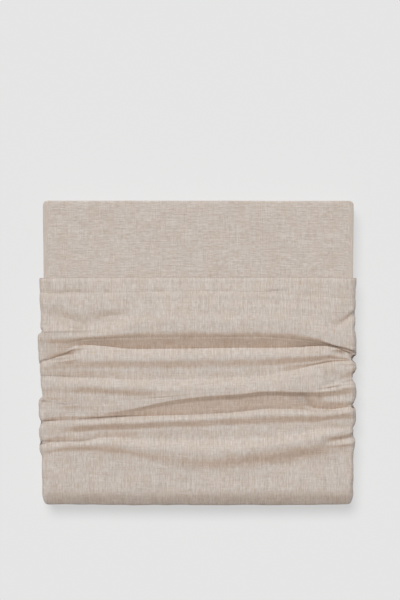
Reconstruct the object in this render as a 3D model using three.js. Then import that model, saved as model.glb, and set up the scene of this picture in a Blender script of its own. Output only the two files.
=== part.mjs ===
// Folded duvet cover. One length of cloth lies folded back and forth in a flat stack. The end of the same cloth is turned
// back round the stack as a pocket, open along its hem, and pushed down into soft gathers that run across the stack.
// +X is the width, +Y points from the closed end of the pocket to the bare end of the stack, and +Z is up.
import * as THREE from "three";
import { mergeVertices } from "three/addons/utils/BufferGeometryUtils.js";

// Driving dimensions, in millimetres.
const STACK_HALF_WIDTH = 179;
const HALF_LENGTH = 175;
const LEAF_COUNT = 8;
const LEAF_THICKNESS = 4.1; // a leaf is eight plies of cloth, pressed together
const LEAF_PITCH = 4.7; // a leaf and the gap over it
const LOOSE_END_SHARE = 0.85; // how thick a leaf still is at its loose end
const STACK_CORNER = 5; // plan radius of the stack's bare corners
const HEM_Y = 85; // where the pocket's mouth is
const POCKET_THICKNESS = 2; // two plies, with the air between them
const POCKET_EASE = 0.5; // between the top leaf and the pocket over it
const POCKET_HALF_WIDTH = 180.5; // at the hem, before the gathers stand out of it
const POCKET_TAPER = 1.3; // from the hem to the closed end
const SIDE_RADIUS = 5; // of the roll over the pocket's long edges
const CORNER_RADIUS = 10; // what the side roll has grown to at the closed end, and so the corners' radius in plan
const CORNER_LENGTH = 45; // how far from the closed end's roll the side roll starts to grow
const END_RADIUS = 12; // of the roll over the closed end
const FOOT_RADIUS = 3; // where the pocket turns under the stack
const HIDDEN_END_GAP = 14; // between the folds and the pocket's closed end

// Steps of the mesh.
const TOP_COLUMNS = 24;
const ROLL_STEPS = 4;
const WALL_STEPS = 2;
const FOOT_STEPS = 2;
const FOLD_STEPS = 6;

const STACK_TOP = (LEAF_COUNT - 1) * LEAF_PITCH + LEAF_THICKNESS;
const POCKET_TOP = STACK_TOP + POCKET_EASE + POCKET_THICKNESS;
const WALL_END = ROLL_STEPS + WALL_STEPS;
const EDGE_STEPS = WALL_END + FOOT_STEPS;

// The gathers. Each row is one line that runs across the pocket, from the hem to the closed end. y is where it lies and
// rise is how high it stands over the plain pocket, at each of the stations across the width. reach is how far the cloth
// stands out of the left side and of the right one. steps is the number of mesh rows to the next line, and fall is the
// shape of the cloth on the way there.
const STATIONS = [-180, -135, -75, 0, 75, 135, 180];
const GATHERS = [
  { line: "hem edge", y: [85, 86, 86, 86, 86, 86, 85], rise: [0.4, 0.3, 0.3, 0.3, 0.3, 0.3, 0.4], reach: [2.6, 1.8], steps: 1, fall: "even" },
  { line: "hem stitching", y: [68, 69, 70, 69, 70, 71, 72], rise: [0.6, 0.5, 0.8, 0.9, 0.9, 0.7, 0.6], reach: [2.4, 1.3], steps: 2, fall: "soft" },
  { line: "first slope", y: [50, 42, 46, 50, 50, 47, 44], rise: [1.6, 1.5, 3.4, 4.8, 4.8, 3.6, 2.2], reach: [1.8, 0.9], steps: 2, fall: "soft" },
  { line: "first crest", y: [20, 22, 25, 27, 27, 20, 7], rise: [4, 7, 8.3, 8.5, 8.5, 8, 5], reach: [5, 2], steps: 3, fall: "steep" },
  { line: "first valley", y: [-8, 8, 5, 5, 5, 4, -5], rise: [0.6, 1.5, 1, 1, 1, 0.8, 0.4], reach: [3.6, -0.4], steps: 2, fall: "sharp" },
  { line: "second crest", y: [-16, -6, -7, -8, -6, -5, -9], rise: [3, 5, 6.5, 6.5, 6, 5, 1.4], reach: [3.1, 0.6], steps: 3, fall: "soft" },
  { line: "second valley", y: [-26, -29, -30, -33, -31, -15, -12], rise: [2, 2, 2.4, 3, 3.4, 1.5, 0.6], reach: [2, 1], steps: 2, fall: "sharp" },
  { line: "third crest", y: [-38, -39, -40, -41, -38, -27, -20], rise: [3, 5.5, 6.5, 7.5, 7.6, 6.6, 4], reach: [1.4, 2.6], steps: 1, fall: "soft" },
  { line: "third crease", y: [-50, -47, -48, -46, -42, -38, -31], rise: [0.5, 4.2, 5.6, 7.6, 7.7, 5.8, 0.6], reach: [-0.5, -1.6], steps: 1, fall: "soft" },
  { line: "third brink", y: [-58, -63, -67, -52, -47, -44, -41], rise: [3.6, 5.3, 6.2, 7.2, 7.4, 7, 4.2], reach: [4.6, 1.9], steps: 3, fall: "soft" },
  { line: "third valley", y: [-81, -77, -75, -70, -63, -67, -62], rise: [0.5, 0.5, 0.5, 0.5, 0.5, 0.5, 0.4], reach: [2.2, -0.2], steps: 2, fall: "sharp" },
  { line: "fourth crest", y: [-89, -87, -82, -77, -74, -73, -71], rise: [3.8, 5, 5, 5.5, 5.5, 5, 4.2], reach: [4.3, 2.7], steps: 2, fall: "soft" },
  { line: "fourth valley", y: [-103, -101, -98, -95, -90, -87, -87], rise: [1, 1.8, 2.2, 2.5, 2.5, 2.2, 0.5], reach: [3.2, -1.6], steps: 2, fall: "sharp" },
  { line: "fifth crest", y: [-109, -107, -113, -118, -112, -103, -98], rise: [3, 4.5, 5.5, 6, 6, 5.5, 3.2], reach: [3.6, 1.4], steps: 3, fall: "soft" },
  { line: "fifth foot", y: [-121, -119, -129, -136, -130, -120, -113], rise: [0.8, 1.6, 1.6, 1.5, 1.5, 1.5, 0.8], reach: [0.9, -0.6], steps: 3, fall: "even" },
  { line: "edge roll", y: [-163, -163, -163, -163, -163, -163, -163], rise: [0.6, 1.2, 1.4, 1.4, 1.4, 1.2, 0.6], reach: [0.8, -0.6], steps: 1, fall: "even" },
];

// How far the cloth has come from one line to the next, for each shape it can take.
const FALLS = {
  even: (t) => t,
  soft: (t) => (1 - Math.cos(Math.PI * t)) / 2,
  sharp: (t) => Math.sin((Math.PI / 2) * t),
  steep: (t) => 1 - Math.cos((Math.PI / 2) * t),
};

// The leaves. bare is how far each fold at the bare end stops short of it, and side is how far each leaf stands out of the
// stack's straight side.
const LEAVES = [
  { bare: 0.6, side: -0.4 },
  { bare: 0.6, side: -1.0 },
  { bare: 1.4, side: 0.4 },
  { bare: 1.4, side: -0.6 },
  { bare: 0.3, side: 0.5 },
  { bare: 0.3, side: -0.9 },
  { bare: 0, side: 0.3 },
  { bare: 0, side: 0 },
];

// How much narrower each side of the stack is, from its bare end to the end in the pocket.
const STACK_TAPER = [
  { y: 175, by: 0 },
  { y: 82, by: 1 },
  { y: 25, by: 4 },
  { y: -120, by: 4.5 },
  { y: -175, by: 10 },
];

// Where the leaves' section is set out across the stack's half width, and how thick a leaf is there.
const LEAF_STATIONS = [
  { across: 1, thickness: 0.45 },
  { across: 0.9965, thickness: 0.75 },
  { across: 0.988, thickness: 0.95 },
  { across: 0.974, thickness: 1 },
  { across: 0.75, thickness: 1 },
  { across: 0.38, thickness: 1 },
  { across: 0, thickness: 1 },
];

const mix = (a, b, t) => a + (b - a) * t;

// A smooth curve through one value at each station, read at x.
function across(values, x) {
  const last = STATIONS.length - 1;
  const at = Math.min(Math.max(x, STATIONS[0]), STATIONS[last]);
  let i = 0;
  while (i < last - 1 && at > STATIONS[i + 1]) i++;
  const slope = (k) => {
    const before = Math.max(k - 1, 0);
    const after = Math.min(k + 1, last);
    return (values[after] - values[before]) / (STATIONS[after] - STATIONS[before]);
  };
  const span = STATIONS[i + 1] - STATIONS[i];
  const t = (at - STATIONS[i]) / span;
  const bend = span * t * (1 - t) * (slope(i) * (1 - t) - slope(i + 1) * t);
  return mix(values[i], values[i + 1], t * t * (3 - 2 * t)) + bend;
}

// The mesh rows over the top of the pocket: where each lies, how high it stands and how far out of the sides it reaches.
function gatherRows() {
  const last = GATHERS.length - 1;
  return GATHERS.flatMap((from, k) => {
    const to = GATHERS[Math.min(k + 1, last)];
    return Array.from({ length: k < last ? from.steps : 1 }, (_, s) => {
      const t = s / from.steps;
      const fallen = FALLS[from.fall](t);
      return {
        steps: 0,
        y: (x) => mix(across(from.y, x), across(to.y, x), t),
        rise: (x) => mix(across(from.rise, x), across(to.rise, x), fallen),
        reach: (x) => mix(from.reach[x < 0 ? 0 : 1], to.reach[x < 0 ? 0 : 1], fallen),
      };
    });
  });
}

// The way down over an edge of the pocket, step by step: how far out and how high the cloth is, which way it faces, and
// how much of a gather is left there.
function edgePath(step, radius, inset) {
  const roll = radius - inset;
  const shoulder = POCKET_TOP - radius;
  if (step <= ROLL_STEPS) {
    const tilt = ((Math.PI / 2) * step) / ROLL_STEPS;
    return { out: roll * Math.sin(tilt), z: shoulder + roll * Math.cos(tilt), tilt, loose: 1 };
  }
  if (step <= WALL_END) {
    const t = (step - ROLL_STEPS) / WALL_STEPS;
    const z = mix(shoulder, inset ? LEAF_THICKNESS : FOOT_RADIUS, t);
    return { out: roll, z, tilt: Math.PI / 2, loose: 1 - 0.75 * t };
  }
  const turned = ((Math.PI / 2) * (step - WALL_END)) / FOOT_STEPS;
  const out = radius - FOOT_RADIUS * (1 - Math.cos(turned));
  return { out, z: FOOT_RADIUS * (1 - Math.sin(turned)), tilt: Math.PI / 2 + turned, loose: 0 };
}

function sideRadius(y) {
  const t = Math.min(Math.max((END_RADIUS - HALF_LENGTH + CORNER_LENGTH - y) / CORNER_LENGTH, 0), 1);
  return mix(SIDE_RADIUS, CORNER_RADIUS, FALLS.soft(t));
}

const pocketHalfWidth = (y) => POCKET_HALF_WIDTH - (POCKET_TAPER * (HEM_Y - y)) / (HEM_Y + HALF_LENGTH);

// One point of the pocket's outer face, or of its inner face at an inset. A column's across runs from -1 to 1, and the
// steps of columns and rows are counted from the flat of the top down over the edge.
function pocketPoint(column, row, inset) {
  const side = Math.sign(column.across);
  const x = column.across * (column.steps ? POCKET_HALF_WIDTH : POCKET_HALF_WIDTH - SIDE_RADIUS);
  const y = row.y(x);
  const towardsEnd = row.steps > column.steps ? 1 - column.steps / row.steps / 2 : row.steps / column.steps / 2 || 0;
  const turn = (towardsEnd * Math.PI) / 2;
  const steps = Math.max(column.steps, row.steps);
  const roll = sideRadius(y);
  const sidePath = edgePath(steps, roll, inset);
  const endPath = edgePath(steps, END_RADIUS, inset);
  const bulge = mix(row.reach(x), row.rise(x), towardsEnd) * sidePath.loose * Math.sin(sidePath.tilt);
  return [
    column.across * (pocketHalfWidth(y) - roll) + side * Math.cos(turn) * (sidePath.out + bulge),
    y - Math.sin(turn) * (endPath.out + bulge),
    mix(sidePath.z, endPath.z, towardsEnd) + row.rise(x) * sidePath.loose * Math.cos(sidePath.tilt),
  ];
}

// The points of the pocket's outer or inner face, as rows that run from the left foot over the top to the right foot.
function pocketGrid(inset) {
  const edgeSteps = inset ? WALL_END : EDGE_STEPS;
  const down = Array.from({ length: edgeSteps }, (_, s) => s + 1);
  const top = Array.from({ length: TOP_COLUMNS + 1 }, (_, i) => (2 * i) / TOP_COLUMNS - 1);
  const columns = [
    ...down.map((steps) => ({ across: -1, steps })).reverse(),
    ...top.map((across) => ({ across, steps: 0 })),
    ...down.map((steps) => ({ across: 1, steps })),
  ];
  const rows = gatherRows();
  const end = rows[rows.length - 1];
  rows.push(...down.map((steps) => ({ ...end, steps })));
  return rows.map((row) => columns.map((column) => pocketPoint(column, row, inset)));
}

const quad = (a, b, c, d) => [[a, b, c], [a, c, d]];
const turnedOver = (faces) => faces.map(([a, b, c]) => [a, c, b]);

// The triangles of one face of the pocket: its skin, and the flat floor between the skin's two feet and its end.
function pocketFaces(grid) {
  const skin = grid.slice(1).flatMap((next, r) =>
    next.slice(1).flatMap((_, c) => quad(grid[r][c], next[c], next[c + 1], grid[r][c + 1])),
  );
  const lastFlat = gatherRows().length - 1;
  const last = grid[0].length - 1;
  const strips = grid.slice(1, lastFlat + 1).flatMap((next, r) => {
    return quad(grid[r][0], grid[r][last], next[last], next[0]);
  });
  const endRows = grid.slice(lastFlat, -1);
  const rim = [
    ...endRows.map((row) => row[0]),
    ...grid[grid.length - 1],
    ...endRows.map((row) => row[last]).reverse(),
  ];
  const middle = [0, (rim[0][1] + grid[grid.length - 1][last >> 1][1]) / 2, rim[0][2]];
  const fan = rim.map((point, i) => [middle, rim[(i + 1) % rim.length], point]);
  return [...skin, ...strips, ...fan];
}

// The face that closes the pocket's cloth at the mouth. The bottom leaf of the stack, whose outline is given, runs out
// of it.
function mouthFaces(outer, inner, leafOutline) {
  const outerRim = outer.slice(FOOT_STEPS, -FOOT_STEPS);
  const hem = inner.slice(1).flatMap((next, c) => quad(outerRim[c], outerRim[c + 1], next, inner[c]));
  const panel = [
    ...outer.slice(0, FOOT_STEPS + 1).reverse(),
    ...outer.slice(-FOOT_STEPS - 1).reverse(),
    inner[inner.length - 1],
    inner[0],
  ];
  const flat = (ring) => ring.map(([x, , z]) => new THREE.Vector2(x, z));
  const all = [...panel, ...leafOutline];
  const triangles = THREE.ShapeUtils.triangulateShape(flat(panel), [flat(leafOutline)]);
  return [...hem, ...triangles.map(([a, b, c]) => [all[a], all[c], all[b]])];
}

function stackTaper(y) {
  const i = STACK_TAPER.findIndex((bend, k) => k > 0 && y >= bend.y);
  const [from, to] = [STACK_TAPER[i - 1], STACK_TAPER[i]];
  return mix(from.by, to.by, (from.y - y) / (from.y - to.y));
}

// The section of the folded stack across one station, as a closed line of [leaf, y, z] points. It runs along one face of
// the folded leaves, from the bottom leaf's loose end to the top leaf's, and back along the other face.
function stackSection(station) {
  const thickness = LEAF_THICKNESS * station.thickness;
  const fromCorner = Math.max(station.across * STACK_HALF_WIDTH - (STACK_HALF_WIDTH - STACK_CORNER), 0);
  const cornerCut = STACK_CORNER - Math.sqrt(Math.max(STACK_CORNER ** 2 - fromCorner ** 2, 0));
  const last = LEAF_COUNT - 1;
  const bends = STACK_TAPER.slice(1, -1).map((bend) => bend.y);

  // One leaf and the fold that takes it up to the next one. face is -1 along its underside and 1 along its upper side.
  const leafLine = (leaf, face) => {
    const middle = leaf * LEAF_PITCH + LEAF_THICKNESS / 2;
    const run = leaf % 2 === 0 ? [...bends].reverse() : bends;
    const flat = leaf === 0 ? [] : run.map((y) => [leaf, y, middle + (face * thickness) / 2]);
    const looseY = leaf === 0 ? HEM_Y : -HALF_LENGTH + HIDDEN_END_GAP;
    const loose = [leaf, looseY, middle + (face * LOOSE_END_SHARE * thickness) / 2];
    if (leaf === last) return [...flat, loose];

    const bareEnd = leaf % 2 === 0;
    const reach = HALF_LENGTH - (bareEnd ? LEAVES[leaf].bare + cornerCut : HIDDEN_END_GAP);
    const radius = (LEAF_PITCH - face * thickness) / 2;
    const fold = Array.from({ length: FOLD_STEPS + 1 }, (_, s) => {
      const angle = -Math.PI / 2 + (Math.PI * s) / FOLD_STEPS;
      const y = reach - (LEAF_PITCH + thickness) / 2 + radius * Math.cos(angle);
      return [leaf, bareEnd ? y : -y, middle + LEAF_PITCH / 2 + radius * Math.sin(angle)];
    });
    return [...(leaf === 0 ? [loose] : flat), ...fold];
  };
  const faceLine = (first) => LEAVES.flatMap((_, leaf) => leafLine(leaf, leaf % 2 === 0 ? first : -first));
  return [...faceLine(-1), ...faceLine(1).reverse()];
}

// The stack of leaves, folded back and forth, as rings of points from its left side to its right. Its sides are a little
// uneven, and each leaf's side edge is rounded.
function stackRings() {
  const half = LEAF_STATIONS.slice(0, -1);
  const stations = [
    ...half.map((station) => ({ ...station, side: -1 })),
    { ...LEAF_STATIONS[LEAF_STATIONS.length - 1], side: 0 },
    ...half.map((station) => ({ ...station, side: 1 })).reverse(),
  ];
  return stations.map((station) =>
    stackSection(station).map(([leaf, y, z]) => {
      const halfWidth = STACK_HALF_WIDTH - stackTaper(y) + LEAVES[leaf].side;
      return [station.side * station.across * halfWidth, y, z];
    }),
  );
}

// The triangles of the stack, all but the loose end of its bottom leaf, which runs on into the pocket.
function stackFaces(rings) {
  const skin = rings.slice(1).flatMap((next, r) =>
    next.slice(1).flatMap((_, i) => quad(rings[r][i], rings[r][i + 1], next[i + 1], next[i])),
  );
  const side = (ring) => {
    const back = [...ring].reverse();
    return ring.slice(1, ring.length / 2).flatMap((next, i) => quad(ring[i], next, back[i + 1], back[i]));
  };
  return [...skin, ...turnedOver(side(rings[0])), ...side(rings[rings.length - 1])];
}

function duvetCover() {
  const rings = stackRings();
  const bottomLeafOutline = [...rings.map((ring) => ring[0]), ...rings.map((ring) => ring[ring.length - 1]).reverse()];
  const outer = pocketGrid(0);
  const inner = pocketGrid(POCKET_THICKNESS);
  const faces = [
    ...pocketFaces(outer),
    ...turnedOver(pocketFaces(inner)),
    ...mouthFaces(outer[0], inner[0], bottomLeafOutline),
    ...stackFaces(rings),
  ];
  const soup = new THREE.BufferGeometry();
  soup.setAttribute("position", new THREE.Float32BufferAttribute(faces.flat(2), 3));
  const geometry = mergeVertices(soup, 1e-4);
  geometry.computeBoundingBox();
  const centre = geometry.boundingBox.getCenter(new THREE.Vector3());
  geometry.translate(-centre.x, -centre.y, -geometry.boundingBox.min.z);
  geometry.computeVertexNormals();
  const linen = new THREE.MeshStandardMaterial({ color: 0xc6b9ad, roughness: 0.95, metalness: 0 });
  const mesh = new THREE.Mesh(geometry, linen);
  mesh.name = "folded_cover";
  return mesh;
}

const cover = new THREE.Group();
cover.add(duvetCover());

export default cover;
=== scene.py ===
"""A folded linen duvet cover, seen from straight above.

One length of cloth lies folded back and forth in a flat stack. The end of the same cloth is turned back
round the stack as a pocket, open along its hem, and pushed down into soft gathers that run across the
stack. Sizes are in millimetres, counted from the middle of the stack, and are turned into metres in the
frame of the CAD model at the end.
"""

import logging
import math
from dataclasses import dataclass, field
from enum import Enum
from typing import Any, Optional, Sequence

import bmesh
import bpy
import numpy as np
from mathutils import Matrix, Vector, noise
from mathutils.geometry import tessellate_polygon


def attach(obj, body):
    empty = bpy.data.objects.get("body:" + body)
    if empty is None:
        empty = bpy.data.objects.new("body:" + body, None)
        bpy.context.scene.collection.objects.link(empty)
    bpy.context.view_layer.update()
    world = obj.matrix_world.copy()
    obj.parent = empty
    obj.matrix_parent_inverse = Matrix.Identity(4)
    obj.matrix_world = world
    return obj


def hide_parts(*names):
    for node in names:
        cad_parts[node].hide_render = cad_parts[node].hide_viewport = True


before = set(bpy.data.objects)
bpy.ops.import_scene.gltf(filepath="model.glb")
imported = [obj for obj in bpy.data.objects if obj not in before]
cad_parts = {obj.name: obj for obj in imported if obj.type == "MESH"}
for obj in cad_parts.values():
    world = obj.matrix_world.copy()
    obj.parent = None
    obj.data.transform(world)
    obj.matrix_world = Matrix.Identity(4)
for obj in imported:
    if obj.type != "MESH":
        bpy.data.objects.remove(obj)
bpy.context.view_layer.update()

LOG = logging.getLogger("folded_cover")

MM = 0.001
NODE = "folded_cover"
BODY = "root"

# The middle of the CAD model's box, counted from the middle of the stack. It lies a little to the left,
# where the gathers stand out further.
BOX_MIDDLE = np.array([-1.3, -0.708, 0.0])

# How much of its slope a curve keeps at a station where it turns back.
TURNING_SLOPE = 0.35

Points = np.ndarray
Faces = list[tuple[int, ...]]
Socket = bpy.types.NodeSocket


# Small helpers for numbers


def mix(start: Any, end: Any, share: Any) -> Any:
    """Goes from start to end by a share between 0 and 1, for numbers and arrays alike."""
    return start + (end - start) * share


def smooth_step(low: float, high: float, value: Any) -> Any:
    """Rises softly from 0 at low to 1 at high, for numbers and arrays alike."""
    share = np.clip((value - low) / (high - low), 0.0, 1.0)
    return share * share * (3.0 - 2.0 * share)


def eased(share: float, start: float, end: float) -> float:
    """Goes from 0 to 1 on a straight slope that is rounded off at its two ends.

    Args:
        share: How far along the slope, from 0 to 1.
        start: The part of the way over which the slope sets in, from 0 for a sharp edge.
        end: The part of the way over which it runs out again. start and end add up to 1 at most.

    Returns:
        How far the slope has come, from 0 to 1.
    """
    steepness = 1.0 / (1.0 - (start + end) / 2.0)
    if share < start:
        return steepness * share * share / (2.0 * start)
    if share > 1.0 - end:
        left = 1.0 - share
        return 1.0 - steepness * left * left / (2.0 * end)
    return steepness * (share - start / 2.0)


def curve_through(stations: Sequence[float], values: Sequence[float], places: Points) -> Points:
    """Reads a smooth curve through one value at each station.

    Args:
        stations: Where the values are given, in rising order.
        values: The value at each station.
        places: Where the curve is read. Beyond the stations it stays at the last value.

    Returns:
        The curve's height at each place.
    """
    at = np.asarray(stations, float)
    heights = np.asarray(values, float)
    steps = np.diff(at)
    rises = np.diff(heights) / steps
    slopes = np.zeros_like(heights)
    same_way = rises[:-1] * rises[1:] > 0.0
    mean = (rises[:-1] * steps[1:] + rises[1:] * steps[:-1]) / (steps[:-1] + steps[1:])
    slopes[1:-1] = np.where(same_way, mean, mean * TURNING_SLOPE)
    slopes[0], slopes[-1] = rises[0], rises[-1]
    inside = np.clip(places, at[0], at[-1])
    cell = np.clip(np.searchsorted(at, inside, side="right") - 1, 0, len(steps) - 1)
    span = steps[cell]
    share = (inside - at[cell]) / span
    rest = 1.0 - share
    bend = span * share * rest * (slopes[cell] * rest - slopes[cell + 1] * share)
    return mix(heights[cell], heights[cell + 1], share * share * (3.0 - 2.0 * share)) + bend


def wander(x: float, y: float, seed: float) -> float:
    """Gives a soft, fixed unevenness, from about -1 to 1, at a place in units of its own size."""
    return noise.noise(Vector((x, y, seed)))


def with_last_repeated(rows: Points, count: int) -> Points:
    """Adds the last row of an array again, count times."""
    return np.concatenate([rows, np.repeat(rows[-1:], count, axis=0)])


def lowest_nearby(values: Points) -> Points:
    """Gives the lowest of each value and its two neighbours."""
    return np.array([values[max(place - 1, 0) : place + 2].min() for place in range(len(values))])


def point_at(distance: float, run: Points, line: Points) -> Points:
    """Reads the point of a line at a distance along it, where run is each of its points' own distance."""
    return np.array([np.interp(distance, run, line[:, axis]) for axis in range(3)])


# The gathers


# Where the lines of the gathers are set out across the pocket.
STATIONS = (-180, -159, -136, -113, -78, -44, 2, 48, 82, 117, 140, 157, 180)


@dataclass(frozen=True)
class FoldLine:
    """One line of a gather, which runs across the pocket from its left edge to its right one.

    Attributes:
        name: What the line is.
        y: Where it lies at each station.
        rise: How high it stands over the plain pocket at each station.
        steps: How many rows of the mesh lead to the next line.
        start: The part of the way to the next line over which the cloth turns away from this one.
        end: The part of the way over which it turns into the next line.
        tuck: How far the next fold's lip lies over this line at each station, or nothing where it is open.
    """

    name: str
    y: tuple[float, ...]
    rise: tuple[float, ...]
    steps: int
    start: float = 0.4
    end: float = 0.4
    tuck: Optional[tuple[float, ...]] = None


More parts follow.
